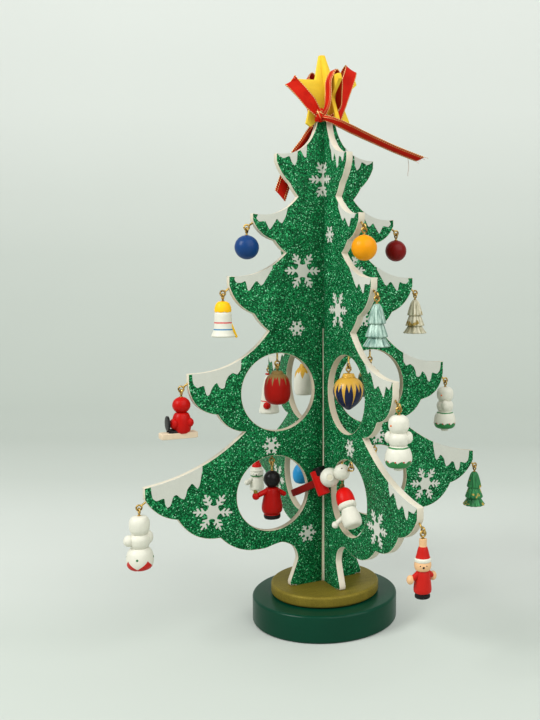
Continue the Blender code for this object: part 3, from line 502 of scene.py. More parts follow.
class Shape:
    """Gathers the surfaces of one piece; build() turns them into one object with closed seams."""

    def __init__(self):
        self.points, self.faces, self.pattern, self.finish, self.count = [], [], [], [], 0

    def grid(self, points, finish=0, down=None):
        """Adds a grid; its pattern runs once across the columns and down the rows."""
        rows, columns = points.shape[:2]
        index = np.arange(rows * columns).reshape(rows, columns)
        quads = np.stack([index[:-1, :-1], index[1:, :-1], index[1:, 1:], index[:-1, 1:]], -1).reshape(-1, 4)
        down = np.linspace(0, 1, rows) if down is None else down
        spots = np.stack(np.meshgrid(np.linspace(0, 1, columns), down), -1).reshape(-1, 2)
        self.points.append(points.reshape(-1, 3))
        self.faces += (quads + self.count).tolist()
        self.pattern.append(spots[quads.reshape(-1)])
        self.finish += [finish] * len(quads)
        self.count += rows * columns
        return self

    def turned(self, outline, finish=0, facing=0.0, **options):
        """Adds a turned surface whose pattern runs evenly down its height."""
        return self.grid(revolve(outline, facing, **options), finish, down_shares(outline))

    def plate(self, outline, low, high, finish=0):
        """Adds a flat plate: the (x, z) outline from y = low to y = high, its rim in square faces."""
        outline = np.asarray(outline, float)
        count = len(outline)
        level = np.ones(count)
        near = np.stack([outline[:, 0], low * level, outline[:, 1]], 1)
        far = np.stack([outline[:, 0], high * level, outline[:, 1]], 1)
        index = np.arange(count)
        after = (index + 1) % count
        rim = np.stack([index, after, after + count, index + count], 1) + self.count
        faces = [(index + self.count).tolist()[::-1], (index + count + self.count).tolist(), *rim.tolist()]
        self.points += [near, far]
        self.faces += faces
        self.pattern.append(np.zeros((sum(len(face) for face in faces), 2)))
        self.finish += [finish] * len(faces)
        self.count += 2 * count
        return self

    def build(self, name, materials, body, nodes=(), slot=None, wing=None, hinge=None, sharp=38):
        """One object with its place in its mesh, riding on its body."""
        points = np.vstack(self.points)
        if wing is not None:
            points = turned_by(points, (0, 0, 1), WING_ANGLES[wing])
        if hinge is not None:
            points = points + hinge
        mesh = bpy.data.meshes.new(name)
        mesh.from_pydata((points * MM).tolist(), [], self.faces)
        mesh.uv_layers.new(name="pattern").data.foreach_set("uv", np.vstack(self.pattern).ravel())
        mesh.polygons.foreach_set("material_index", self.finish)
        seamed(mesh)
        finished(mesh, materials, sharp)
        return dress(linked(name, mesh), body, nodes)


def dress(piece, body, nodes):
    """Lets the piece ride on its body in place of the nodes."""
    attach(piece, body)
    if nodes:
        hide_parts(*nodes)
    return piece


# The panels' outline, with the same shares as the part's source

BASE_RADIUS, BASE_THICK = 39.24, 14.5
COLLAR_RADIUS, COLLAR_THICK = 29.25, 6.0
DISC_EDGE, GAP = 1.4, 0.3
REACH, HEIGHT, THICK = 97.5, 249.4, 3.5
FOOT_Z = BASE_THICK + GAP + COLLAR_THICK + GAP
PANEL_TOP = FOOT_Z + HEIGHT
SLOT_TOP = FOOT_Z + 0.549 * HEIGHT
TENON_HALF, TENON_DEPTH = 18.0, 4.0
# How far the cutters stand out on each side of a panel and past its ends, and how much its edges are eased
THROUGH, PAST, PANEL_EASE = 5.0, 10.0, 0.22
SHOULDER = (0.054, 0.980)
HOLES = (((0.282, 0.4202), 20.3), ((0.316, 0.2069), 19.9))
TIERS = (
    ((0.288, 0.910), 0.18, (0.166, 0.825), 0.207, (0.63, 0.63), (0.07, 0.04)),
    ((0.421, 0.787), 0.18, (0.235, 0.709), 0.147, (0.657, 0.619), (0.128, 0.056)),
    ((0.552, 0.660), 0.16, (0.334, 0.548), 0.119, (0.627, 0.627), (0.13, 0.055)),
    ((0.770, 0.467), 0.22, (0.472, 0.342), 0.13, (0.51, 0.595), (0.185, 0.134)),
)
SKIRT_TIP, SKIRT_END, SKIRT_EDGE_BOW = (1.0, 0.2486), (1.0, 0.226), 0.08
SKIRT_NOTCHES = (((0.834, 0.177), 0.12), ((0.611, 0.1275), 0.154), ((0.447, 0.0914), 0.09))
TRUNK = (
    (0.369, 0.0906), (0.311, 0.0958), (0.263, 0.0982), (0.213, 0.0894), (0.186, 0.0778),
    (0.174, 0.0617), (0.176, 0.0535), (0.192, 0.0357), (0.220, 0.0072), (0.217, 0.0),
)


def on_panel(shares):
    return np.array([shares[0] * REACH, FOOT_Z + shares[1] * HEIGHT])


def bow(start, end, share, steps=12):
    """Points after the start on a shallow curve: the chord plus 4 t (1 - t) times the share of it,
    sideways."""
    t = (np.arange(1, steps + 1) / steps)[:, None]
    chord = end - start
    side = np.array([chord[1], -chord[0]])
    return start + chord * t + side * 4 * share * t * (1 - t)


def tier_places(tier):
    tip_shares, drop, valley_shares, _, notch_shares, _ = TIERS[tier]
    tip, valley = on_panel(tip_shares), on_panel(valley_shares)
    end = np.array([tip[0], tip[1] - drop * (tip[1] - valley[1])])
    notch = end - np.array(notch_shares) * (end - valley)
    return tip, end, notch, valley


def upper_edges():
    """The upper edge of each of the five tiers, from the inside to the tip."""
    start, edges = on_panel(SHOULDER), []
    for tier in range(len(TIERS)):
        tip, _, _, valley = tier_places(tier)
        edges.append(np.vstack([start, bow(start, tip, TIERS[tier][3])]))
        start = valley
    edges.append(np.vstack([start, bow(start, on_panel(SKIRT_TIP), SKIRT_EDGE_BOW)]))
    return edges


EDGES = upper_edges()


def half_outline():
    """One wing's outline from the shoulder to the foot."""
    parts = []
    for tier, edge in enumerate(EDGES[:-1]):
        _, end, notch, valley = tier_places(tier)
        bows = TIERS[tier][5]
        parts += [edge if tier == 0 else edge[1:], end[None], bow(end, notch, -bows[0], 8)]
        parts.append(bow(notch, valley, -bows[1], 8))
    parts += [EDGES[-1][1:], on_panel(SKIRT_END)[None]]
    for shares, share in SKIRT_NOTCHES:
        parts.append(bow(parts[-1][-1], on_panel(shares), -share, 10))
    trunk = smooth([parts[-1][-1], *[on_panel(shares) for shares in TRUNK[:-1]]], 3)[1:]
    parts += [trunk, on_panel(TRUNK[-1])[None]]
    parts.append(np.array([(TENON_HALF, FOOT_Z), (TENON_HALF, FOOT_Z - TENON_DEPTH)]))
    return np.vstack(parts)


def loose(shape):
    """A plain object of the shape's surfaces, for cutting and being cut."""
    mesh = bpy.data.meshes.new("loose")
    mesh.from_pydata((np.vstack(shape.points) * MM).tolist(), [], shape.faces)
    seamed(mesh)
    return linked("loose", mesh)


def baked(piece, name, cutters, bevel):
    """The piece less the cutters, with its edges eased, as a plain mesh in a new object."""
    for cutter in cutters:
        cut = piece.modifiers.new("cut", "BOOLEAN")
        cut.operation, cut.object = "DIFFERENCE", cutter
    if bevel:
        eased = piece.modifiers.new("eased", "BEVEL")
        eased.width, eased.segments = bevel * MM, 2
        eased.limit_method, eased.angle_limit = "ANGLE", math.radians(35)
        eased.use_clamp_overlap = False
    mesh = bpy.data.meshes.new_from_object(piece.evaluated_get(bpy.context.evaluated_depsgraph_get()))
    mesh.name = name
    mesh.materials.clear()
    for used in (piece, *cutters):
        bpy.data.objects.remove(used, do_unlink=True)
    return linked(name, mesh)


def box_shape(low, high):
    outline = [(low[0], low[2]), (high[0], low[2]), (high[0], high[2]), (low[0], high[2])]
    return Shape().plate(outline, low[1], high[1])


def bored(centre, radius):
    """A round cutter across the panel."""
    angle = np.linspace(0, 2 * np.pi, 96, endpoint=False)
    outline = np.stack([centre[0] + radius * np.cos(angle), centre[1] + radius * np.sin(angle)], 1)
    return Shape().plate(outline, -THROUGH, THROUGH)


def panel(name, slot_from_below, degrees):
    """One panel with its slot and holes: glitter on the flat faces and bare paint on every edge, darker in
    the holes as painted shade.
    """
    half = half_outline()
    mirrored = (half * np.array([-1.0, 1.0]))[::-1]
    blank = loose(Shape().plate(np.vstack([[(0.0, PANEL_TOP)], half, mirrored]), -THICK / 2, THICK / 2))
    slot = THICK / 2 + GAP
    low, high = (FOOT_Z - PAST, SLOT_TOP + GAP) if slot_from_below else (SLOT_TOP, PANEL_TOP + PAST)
    cutters = [loose(box_shape((-slot, -THROUGH, low), (slot, THROUGH, high)))]
    for shares, radius in HOLES:
        across, up = on_panel(shares)
        cutters += [loose(bored((side * across, up), radius)) for side in (1, -1)]
    made = baked(blank, name, cutters, PANEL_EASE)
    mesh = made.data
    facing = np.zeros(3 * len(mesh.polygons))
    mesh.polygons.foreach_get("normal", facing)
    flat = np.abs(facing.reshape(-1, 3)[:, 1]) > 0.97
    middle = np.zeros(3 * len(mesh.polygons))
    mesh.polygons.foreach_get("center", middle)
    middle = middle.reshape(-1, 3)[:, [0, 2]] / MM
    bore = np.zeros(len(middle), bool)
    for shares, radius in HOLES:
        across, up = on_panel(shares)
        bore |= np.hypot(np.abs(middle[:, 0]) - across, middle[:, 1] - up) < radius + 0.3
    # Faces round the holes take the darker tan: painted shade inside the holes
    mesh.polygons.foreach_set("material_index", np.where(flat, 0, np.where(bore, 2, 1)))
    mesh.transform(Matrix.Rotation(math.radians(degrees), 4, "Z"))
    finished(mesh, (GLITTER, EDGE_PAINT, HOLE_SHADE_PAINT), 30)
    return dress(made, "tree", (name,))


GLITTER = glitter("glitter_green")
EDGE_PAINT = bare_edge("edge_cream", tone(214, 206, 186))
SNOW = snow_paint("snow_white", tone(203, 204, 193))
# The holes' rims: the edge paint darkened to a tan as painted shade inside the holes
HOLE_SHADE_PAINT = bare_edge("hole_tan_painted_shade", tone(196, 184, 160))
BRASS = brass("eye_brass", tone(214, 178, 100), tone(72, 48, 20))

panel("panel_1", True, 0.0).name = "panel_one"
panel("panel_2", False, 90.0).name = "panel_two"


# Snow on the tiers and flakes on the wings: reach from the middle and height

SNOW_L = (
    (0, ((11.2, 252.1), (11.6, 247.1), (12.6, 247.1), (14.8, 250.9))),
    (0, ((16.4, 249.7), (16.8, 245), (18, 242.4), (19.6, 243.9), (20.9, 247.3), (24.1, 245.7),
         (25.6, 246.3), (27.2, 247.4))),
    (1, ((22.1, 220.6), (23.1, 216.5), (25.1, 213), (26.1, 213.2), (28.1, 215.2), (29, 213.6), (32, 209.2),
         (33.4, 212), (34.4, 213.8), (37.7, 213.2), (39.2, 214.9), (38.2, 217.4))),
    (2, ((30.6, 190), (36.5, 180.6), (39.4, 183.8), (43.8, 177.7), (45.1, 183.5), (47.5, 182.4),
         (49.8, 182.4), (51, 183.9), (50.7, 186))),
    (3, ((47.9, 143.7), (47.8, 141.1), (48.2, 138.5), (49.9, 136.2), (52.5, 137.2), (54.9, 135.4),
         (56.1, 133.0), (56.7, 129.8), (58.1, 129.4), (59.6, 130.3), (60.6, 132.6), (62.2, 131.5),
         (63.5, 129.5), (64.5, 126.9), (65.7, 126.2), (66.6, 128.1), (67.3, 131.6), (70.9, 130.5),
         (72.6, 132.4), (73.1, 134.7), (73.2, 137.6))),
    (4, ((68.7, 88.6), (69.2, 86.8), (69.7, 83.8), (70.3, 81.4), (71.3, 79.7), (74, 83.1), (76.5, 80.3),
         (77.1, 77.6), (78.1, 75.3), (79.9, 76.1), (82, 78.2), (83.5, 77.5), (85.1, 72.8), (86.6, 72.1),
         (87.6, 73.8), (88, 77.2), (91.9, 76.1), (93.7, 77.6), (94.2, 80.6), (94.4, 83.1))),
)
SNOW_F = (
    (0, ((9.2, 253.5), (11.3, 249.6), (12.2, 244.9), (13.4, 245.4), (14.5, 248.9), (16.2, 246.6),
         (17.5, 240.9), (18.6, 241.6), (20.1, 246.8), (22.4, 245.9), (23.6, 243.4), (24.7, 244.6),
         (25.6, 247.4), (26.6, 248))),
    (1, ((19.2, 220.9), (24.1, 213.7), (26.3, 215.8), (31, 210.2), (33.1, 215.1), (36.3, 214.7),
         (38.1, 217.7))),
    (2, ((31.8, 190.3), (39.4, 180.1), (41.8, 183.1), (46.3, 177.3), (47.7, 182.7), (52.4, 182.1),
         (54.6, 185.8))),
    (3, ((48.5, 143.9), (51.3, 138.9), (53.3, 140.4), (55.3, 138), (58, 132.2), (61.9, 134.5), (64.5, 131.6),
         (66.8, 129.1), (68.3, 133), (68.9, 135), (72, 133.5), (73.8, 135.6), (74.4, 137.8), (75.6, 137.9))),
    (4, ((71.9, 88.1), (72.8, 85.1), (73.6, 82.9), (76.6, 85.9), (78.5, 83.2), (80.1, 79.7), (81.6, 78.6),
         (84.5, 81.5), (86, 80.3), (87.2, 77.1), (89, 75.6), (89.9, 77.7), (90, 80.4), (92.5, 80.1),
         (95, 80.1), (96.4, 82), (97.4, 83.3))),
)
FLAKES_L = ((13.8, 188.8, 10.1, 0), (17.1, 158.8, 4.4, 0), (31.8, 98, 5, 0), (63.6, 66.8, 10.4, 7),
            (11.3, 48.4, 5, 0))
FLAKES_F = ((9.4, 207.6, 4.7, 0), (18.8, 168.8, 10.2, 0), (32.6, 99, 4.9, 0), (61, 64.4, 9.9, 0))
FLAKES_R = ((13.8, 188.8, 9.6, 5), (22.5, 163, 4.5, 0), (31.8, 98, 5, 0), (63.6, 66.8, 10.4, -6))
CORNER_FLAKE = (0.0, 236.2, 10.2, 0)
# How deep the snow reaches into the panel and how far it stands out
SNOW_UNDER, SNOW_PROUD = 0.1, 0.16
ARM = ((0.36, 0.06), (0.42, 0.05), (0.56, 0.21), (0.64, 0.20), (0.56, 0.05), (0.64, 0.045), (0.76, 0.20),
       (0.85, 0.18), (0.78, 0.045), (0.97, 0.05))
SMALL_ARM = ((0.42, 0.09), (0.5, 0.08), (0.68, 0.30), (0.8, 0.26), (0.72, 0.08), (1.0, 0.09))


def softened(points):
    """The line with its corners cut a little along each side; its ends stay."""
    before, after = points[:-1], points[1:]
    cut = np.stack([0.86 * before + 0.14 * after, 0.14 * before + 0.86 * after], 1).reshape(-1, 2)
    return np.vstack([points[:1], cut[1:-1], points[-1:]])


def snow_patch(tier, border):
    """Closed outline of a patch: its lower border, then back along the tier's upper edge."""
    border = np.asarray(border, float)
    edge = EDGES[tier]
    first, last = border[0, 0], min(border[-1, 0], edge[-1, 0])
    ends = np.array([first, last])
    tops = np.stack([ends, np.interp(ends, edge[:, 0], edge[:, 1])], 1)
    inner = edge[(edge[:, 0] > first + 0.3) & (edge[:, 0] < last - 0.3)]
    lower = border.copy()
    lower[:, 0] = np.clip(lower[:, 0], first, edge[-1, 0])
    lower[:, 1] = np.minimum(lower[:, 1], np.interp(lower[:, 0], edge[:, 0], edge[:, 1]) - 0.25)
    return np.vstack([tops[:1], softened(lower), tops[1:], inner[::-1]])


def flake(centre, radius, degrees=0.0):
    """Six barbed arms round the centre."""
    arm, notch = (SMALL_ARM, (0.30, 0.173)) if radius < 6 else (ARM, (0.27, 0.156))
    upper = np.array(arm)
    one = np.vstack([[(notch[0], -notch[1])], upper * (1, -1), [(1.0, 0.0)], upper[::-1]])
    turns = np.radians(degrees + 60.0 * np.arange(6))
    turn = np.array([[np.cos(turns), -np.sin(turns)], [np.sin(turns), np.cos(turns)]])
    points = np.einsum("ijk,nj->kni", turn, one).reshape(-1, 2)
    return points * radius + np.asarray(centre, float)


def wing_snow(wing, patches, flakes):
    """The snow and flakes on both faces of one wing, raised a little from the glitter."""
    shape = Shape()
    outlines = [snow_patch(tier, border) for tier, border in patches]
    outlines += [flake((reach, up), radius, degrees) for reach, up, radius, degrees in flakes]
    for outline in outlines:
        shape.plate(outline, THICK / 2 - SNOW_UNDER, THICK / 2 + SNOW_PROUD)
        shape.plate(outline, -THICK / 2 - SNOW_PROUD, -THICK / 2 + SNOW_UNDER)
    return shape.build(f"snow_{wing}", [SNOW], "tree", slot="white_paint", wing=wing, sharp=20)


wing_snow("l", SNOW_L, (*FLAKES_L, CORNER_FLAKE))
wing_snow("f", SNOW_F, (*FLAKES_F, CORNER_FLAKE))
wing_snow("r", SNOW_L, FLAKES_R)
wing_snow("b", SNOW_F, FLAKES_F)


# The base


def disc_outline(radius, bottom, thick):
    """A disc's outline: rounded upper and lower edges of the same radius."""
    angle = np.linspace(0, np.pi / 2, 9)
    upper = np.stack([radius - DISC_EDGE + DISC_EDGE * np.sin(angle),
                      bottom + thick - DISC_EDGE + DISC_EDGE * np.cos(angle)], 1)
    lower = np.stack([upper[:, 0], 2 * bottom + thick - upper[:, 1]], 1)[::-1]
    inner = np.array([(0.0, bottom + thick), ((radius - DISC_EDGE) * 0.5, bottom + thick)])
    return np.vstack([inner, upper, lower, [(0.0, bottom)]])


base = Shape().turned(disc_outline(BASE_RADIUS, 0.0, BASE_THICK), segments=128)
base.build("base_lacquered", [lacquer("base_green", tone(3, 57, 39), 0.32)], "tree", ("base_disc",),
           "base_green")

COLLAR_BOTTOM = BASE_THICK + GAP
collar_blank = loose(Shape().turned(disc_outline(COLLAR_RADIUS, COLLAR_BOTTOM, COLLAR_THICK), segments=128))
reach, slot = TENON_HALF + GAP, THICK / 2 + GAP
low, high = COLLAR_BOTTOM + COLLAR_THICK - TENON_DEPTH, COLLAR_BOTTOM + COLLAR_THICK + 3
mortises = [loose(box_shape((-reach, -slot, low), (reach, slot, high))),
            loose(box_shape((-slot, -reach, low), (slot, reach, high)))]
collar = baked(collar_blank, "collar_gilt", mortises, 0.0)
finished(collar.data, [gilt("collar_gold", tone(138, 122, 44), tone(98, 88, 30), 0.5, 0.25)], 40)
dress(collar, "tree", ("collar_disc",))


# The screw eyes in the panels

EYE_WAY = np.array([math.cos(math.radians(37)), 0.0, -math.sin(math.radians(37))])
DOWN = np.array([0.0, 0.0, -1.0])
STANDOFFS = {"upper": 5.5, "lower": 3.0, "tip": 4.0}
EYE_RING, EYE_WIRE = 1.3, 0.45


def screw_eye(shape, wing, hinge, way, standoff):
    """A wire ring in the wing's plane over its hinge point, with a threaded shank back into the wood: the
    shank's radius is r + d cos(2 pi z / pitch)."""
    middle = np.array([0.0, 0.0, EYE_RING])
    root = middle - way * EYE_RING
    end = middle - way * (standoff + 3.2)
    along = np.linspace(0, np.linalg.norm(end - root), 60)
    radius = 0.48 + 0.07 * np.cos(2 * np.pi * along / 0.62)
    radius[:1], radius[-1:] = 0.0, 0.0
    shank = revolve(np.stack([radius, along], 1), 0.0, 14) @ basis(end - root).T + root
    joint = globe(root - way * 0.2, (0.62, 0.5, 0.62), rows=13, segments=16)
    for grid in (hoop(middle, (0, 1, 0), EYE_RING, EYE_WIRE), shank, joint):
        shape.grid(turned_by(grid, (0, 0, 1), WING_ANGLES[wing]) + hinge)


eyes = Shape()
for body, hinge in HINGES.items():
    if body == "doll":
        continue
    wing = body[0]
    site = "upper" if "_upper_" in body else "lower" if "_lower_" in body else "tip"
    screw_eye(eyes, wing, hinge, EYE_WAY if site == "tip" else DOWN, STANDOFFS[site])
screw_eye(eyes, "f", HINGES["doll"], DOWN, STANDOFFS["lower"])
eye_nodes = [node for node in frame["nodes"] if node.startswith("eye_")]
eyes.build("screw_eyes", [BRASS], "tree", eye_nodes, "eye_brass")


# Ornaments

WHITE_TONE, RED_TONE, BLACK_TONE = tone(216, 214, 199), tone(180, 14, 8), tone(24, 22, 22)
BEIGE_TONE, GREEN_TONE, GOLD_TONE = tone(222, 178, 132), tone(30, 110, 60), tone(206, 160, 60)
WHITE = paint("paint_white", WHITE_TONE)
RED = paint("paint_red", RED_TONE)
DEEP_RED = paint("paint_deep_red", tone(120, 20, 16))
BLACK = paint("paint_black", BLACK_TONE, roughness=0.28)
BEIGE = paint("paint_beige", BEIGE_TONE)
GREEN = paint("paint_green", GREEN_TONE)
YELLOW = paint("paint_yellow", tone(240, 190, 30))
OLIVE = paint("paint_olive", tone(120, 112, 50))
PLANK = bare_edge("plank_wood", tone(226, 205, 176), 0.25)

# Where a hung ornament's body starts below its hinge
TOP = -2.55


def hung(thread=0.0):
    """A new ornament's hanging ring and stem; its body starts below them."""
    shape = Shape()
    shape.grid(hoop((0, 0, -0.25), (1, 0, 0), EYE_RING, EYE_WIRE))
    shape.grid(limb((0, 0, -1.45), (0, 0, TOP - thread - 1.2), 0.48, dome=0.5, segments=14))
    shape.grid(globe((0, 0, TOP - thread + 0.05), (0.95, 0.95, 0.3), segments=20, rows=9))
    return shape


def ornament(shape, body, finishes, slot):
    """Builds a hanging ornament's piece, named like its body, at its hinge."""
    return shape.build(body, [BRASS, *finishes], body, (f"ornament_{body}",), slot,
                       wing=body[0], hinge=HINGES[body])


def spot(centre, way, radius, proud=0.25):
    """A small round dab on a surface, flattened along the way it faces."""
    unit = globe((0, 0, 0), (radius, radius, proud), segments=16, rows=9)
    return unit @ basis(way).T + np.asarray(centre, float)


def around(radius, degrees, height):
    """The point at this angle about the upright axis, and the way outward there."""
    way = np.array([math.cos(math.radians(degrees)), math.sin(math.radians(degrees)), 0.0])
    return way * radius + np.array([0.0, 0.0, height]), way


def dab(shape, radius, degrees, height, size, finish, proud=0.25, lean=0.0):
    """Adds a round dab at this angle about the upright axis; a lean turns it up."""
    centre, way = around(radius, degrees, height)
    shape.grid(spot(centre, way + np.array([0.0, 0.0, lean]), size, proud), finish)


def plain_ball(body, width, material, slot):
    shape = hung()
    shape.grid(globe((0, 0, TOP - width / 2), (width / 2,) * 3, segments=56, rows=37), 1)
    ornament(shape, body, [material], slot)


plain_ball("l2_ball", 12.2, paint("ball_blue", tone(20, 60, 114), roughness=0.36, coat=0.12), "blue_paint")
plain_ball("f2_ball", 12.6, paint("ball_amber", tone(230, 148, 6), roughness=0.38, coat=0.1), "yellow_paint")
plain_ball("r2_ball", 11.8, paint("ball_crimson", tone(118, 12, 9), roughness=0.36, coat=0.12), "red_paint")
plain_ball("b2_ball", 12.2, paint("ball_leaf", tone(24, 104, 58), roughness=0.36, coat=0.12), "green_paint")

BELL = (
    (0.30, 0.010), (0.52, 0.055), (0.66, 0.15), (0.71, 0.25), (0.70, 0.29), (0.66, 0.315), (0.66, 0.315),
    (0.69, 0.335), (0.72, 0.38), (0.74, 0.60), (0.79, 0.78), (0.90, 0.89), (1.0, 0.95), (1.0, 0.975),
    (0.93, 1.0), (0.93, 1.0),
)
BELL_BLUE = tone(38, 120, 170)


def bell(body, cap, stripe, second):
    shape = hung()
    finish = paint(f"bell_{body[0]}", WHITE_TONE, (
        ("drips", 0.285, 0.025, 7, 0.6, 0.2, cap),
        ("band", 0.575, 0.612, stripe), ("band", 0.765, 0.80, second)), roughness=0.42)
    shape.turned(profile(BELL, 11.8, 18.0, TOP), 1, CAMERA_SIDE[body[0]], segments=64)
    stick = (-0.40 * 5.9, 0.30 * 5.9, TOP - 0.50 * 18), (-1.05 * 5.9, 0.30 * 5.9, TOP - 0.985 * 18)
    if body == "l3_bell":
        shape.grid(limb(*stick, 0.7), 2)
    ornament(shape, body, [finish, YELLOW], "white_paint")


bell("l3_bell", tone(248, 188, 22), tone(205, 60, 62), BELL_BLUE)
bell("b3_bell", tone(190, 40, 34), tone(36, 120, 70), tone(205, 60, 62))

PINE = (
    (0.20, 0.01), (0.38, 0.10), (0.54, 0.27), (0.66, 0.43), (0.65, 0.452), (0.62, 0.46), (0.62, 0.46),
    (0.50, 0.47), (0.50, 0.47), (0.60, 0.55), (0.74, 0.68), (0.81, 0.745), (0.80, 0.765), (0.76, 0.772),
    (0.76, 0.772), (0.62, 0.785), (0.62, 0.785), (0.76, 0.86), (0.92, 0.935), (1.0, 0.972), (0.98, 0.99),
    (0.92, 1.0), (0.92, 1.0),
)


def pine(body, width, height, flutes, finish, slot):
    shape = hung()
    outline = profile(PINE, width, height, TOP, 4)
    shape.turned(outline, 1, CAMERA_SIDE[body[0]], segments=96, flutes=flutes, depth=0.09)
    ornament(shape, body, [finish], slot)


pine("f3_pine", 13.4, 20.7, 13, streaked("pine_teal", tone(176, 200, 186), tone(62, 104, 92)), "teal_paint")
pine("r3_pine", 13.4, 19.0, 11,
     streaked("pine_pearl", tone(214, 208, 184), tone(148, 142, 108), tone(150, 126, 62)),
     "pearl_paint")
pine("r5_pine", 13.4, 20.4, 13,
     streaked("pine_green", tone(60, 140, 84), tone(18, 70, 40), tone(196, 160, 70)),
     "green_paint")

ONION = (
    (0.30, 0.0), (0.36, 0.02), (0.40, 0.07), (0.42, 0.11), (0.42, 0.11), (0.60, 0.15), (0.82, 0.24),
    (0.97, 0.38), (1.0, 0.48), (0.95, 0.60), (0.78, 0.74), (0.54, 0.86), (0.30, 0.94), (0.16, 0.985),
    (0.08, 1.0),
)
ACORN = (
    (0.30, 0.0), (0.38, 0.015), (0.44, 0.05), (0.46, 0.085), (0.46, 0.085), (0.66, 0.13), (0.86, 0.24),
    (0.97, 0.40), (1.0, 0.56), (0.98, 0.72), (0.88, 0.86), (0.66, 0.955), (0.36, 0.995), (0.2, 1.0),
)
DOME = (
    (0.28, 0.0), (0.36, 0.03), (0.42, 0.10), (0.42, 0.10), (0.62, 0.16), (0.84, 0.28), (0.96, 0.45),
    (1.0, 0.62), (0.98, 0.80), (0.90, 0.93), (0.78, 1.0), (0.78, 1.0),
)


def onion(body, width, height, shares, finish, slot, collar):
    shape = hung()
    shape.turned(profile(shares, width, height, TOP), 1, CAMERA_SIDE[body[0]], segments=72)
    neck = TOP - 0.105 * height
    shape.grid(hoop((0, 0, neck), (0, 0, 1), 0.40 * width / 2, 0.42, 40, 10), 2)
    ornament(shape, body, [finish, collar], slot)


GILDED = gilt("leaf_gold", tone(222, 180, 84), tone(168, 124, 44), 0.34, 0.6)
NAVY = paint("onion_navy", tone(16, 26, 62), (
    ("drips", 0.13, 0.36, 9, 1.7, 0.0, GOLD_TONE), ("drips", 0.13, 0.74, 9, 2.4, 0.5, GOLD_TONE)), 0.28, 0.3)
onion("f_upper_onion", 16.0, 18.7, ONION, NAVY, "navy_paint", GILDED)
onion("l_upper_onion", 13.8, 17.6, ACORN, paint("onion_red", tone(150, 14, 5), (
    ("drips", 0.08, 0.15, 11, 1.3, 0.1, tone(128, 104, 58)),
    ("drips", 0.08, 0.34, 11, 2.0, 0.6, tone(128, 104, 58))),
    0.44, 0.03), "red_paint", RED)
onion("b_upper_onion", 11.0, 17.4, DOME, paint("dome_white", WHITE_TONE, (
    ("drips", 0.16, 0.14, 6, 1.0, 0.1, GOLD_TONE), ("drips", 0.16, 0.30, 6, 1.2, 0.6, GOLD_TONE)), 0.3),
    "white_paint", GILDED)
onion("r_upper_onion", 13.8, 17.6, ACORN, paint("onion_green", tone(26, 98, 56), (
    ("drips", 0.12, 0.20, 7, 1.2, 0.1, GOLD_TONE), ("drips", 0.12, 0.50, 7, 1.5, 0.6, GOLD_TONE)), 0.3, 0.4),
    "green_paint", GILDED)

EGG = (
    (0.25, 0.012), (0.48, 0.06), (0.74, 0.18), (0.93, 0.36), (1.0, 0.56), (0.94, 0.76), (0.74, 0.91),
    (0.40, 0.985), (0.15, 1.0),
)


def egg(body, material, slot):
    shape = hung(6.5)
    shape.turned(profile(EGG, 10.0, 11.8, TOP - 6.5), 1, CAMERA_SIDE[body[0]], segments=56)
    ornament(shape, body, [material], slot)


egg("b_lower_egg", paint("egg_blue", tone(40, 140, 196), roughness=0.3), "blue_paint")
egg("r_lower_egg", paint("egg_yellow", tone(236, 176, 44), roughness=0.3), "yellow_paint")

# The sledger on its plank
W, H = 9.2 / 2, 17.9
shape = hung()
shape.grid(globe((0, 0, TOP - 4.1), (4.4, 4.4, 4.15), CAMERA_SIDE["l"]), 1)
SLEDGER_BODY = (
    (0.52, 0.43), (0.74, 0.46), (0.92, 0.56), (1.0, 0.70), (1.0, 0.82), (0.92, 0.93), (0.76, 1.0),
    (0.76, 1.0),
)
shape.turned(profile(SLEDGER_BODY, 9.2, H, TOP), 1, CAMERA_SIDE["l"], segments=48)
shape.grid(globe((0.94 * W, 0.36 * W, TOP - 0.72 * H), (2.3, 2.3, 2.6)), 1)
shape.grid(globe((-0.70 * W, 0.62 * W, TOP - 0.70 * H), (1.9, 1.9, 2.3)), 1)
shape.grid(limb((0.9 * W, 0.1 * W, TOP - 0.71 * H), (1.58 * W, 0.1 * W, TOP - 0.71 * H), 1.3, dome=0.2), 1)
shape.grid(limb((1.47 * W, 0.1 * W, TOP - 0.71 * H), (1.63 * W, 0.1 * W, TOP - 0.71 * H), 3.68, dome=0.06,
                segments=40), 2)
shape.grid(slab((0.37 * W, 0, TOP - 1.055 * H), (18.1, 6.4, 3.0), 0.14), 3)
for side in (-1, 1):
    shape.grid(limb((2.2, side * 1.7, TOP - 0.95 * H), (5.8, side * 1.7, TOP - 0.955 * H), 1.25), 2)
ornament(shape, "l4_sledger", [RED, BLACK, PLANK], "red_paint")

# The snowmen: F4 and R4 hang head up with a peg below; L5 has a red hem with petals
SNOWMAN = (
    (0.30, 0.004), (0.54, 0.03), (0.72, 0.09), (0.77, 0.17), (0.73, 0.26), (0.60, 0.325), (0.56, 0.34),
    (0.56, 0.34), (0.66, 0.365), (0.76, 0.42), (0.77, 0.48), (0.70, 0.55), (0.60, 0.585), (0.60, 0.585),
    (0.74, 0.62), (0.90, 0.69), (1.0, 0.79), (1.0, 0.88), (0.92, 0.95), (0.78, 0.99), (0.66, 1.0),
    (0.66, 1.0),
)


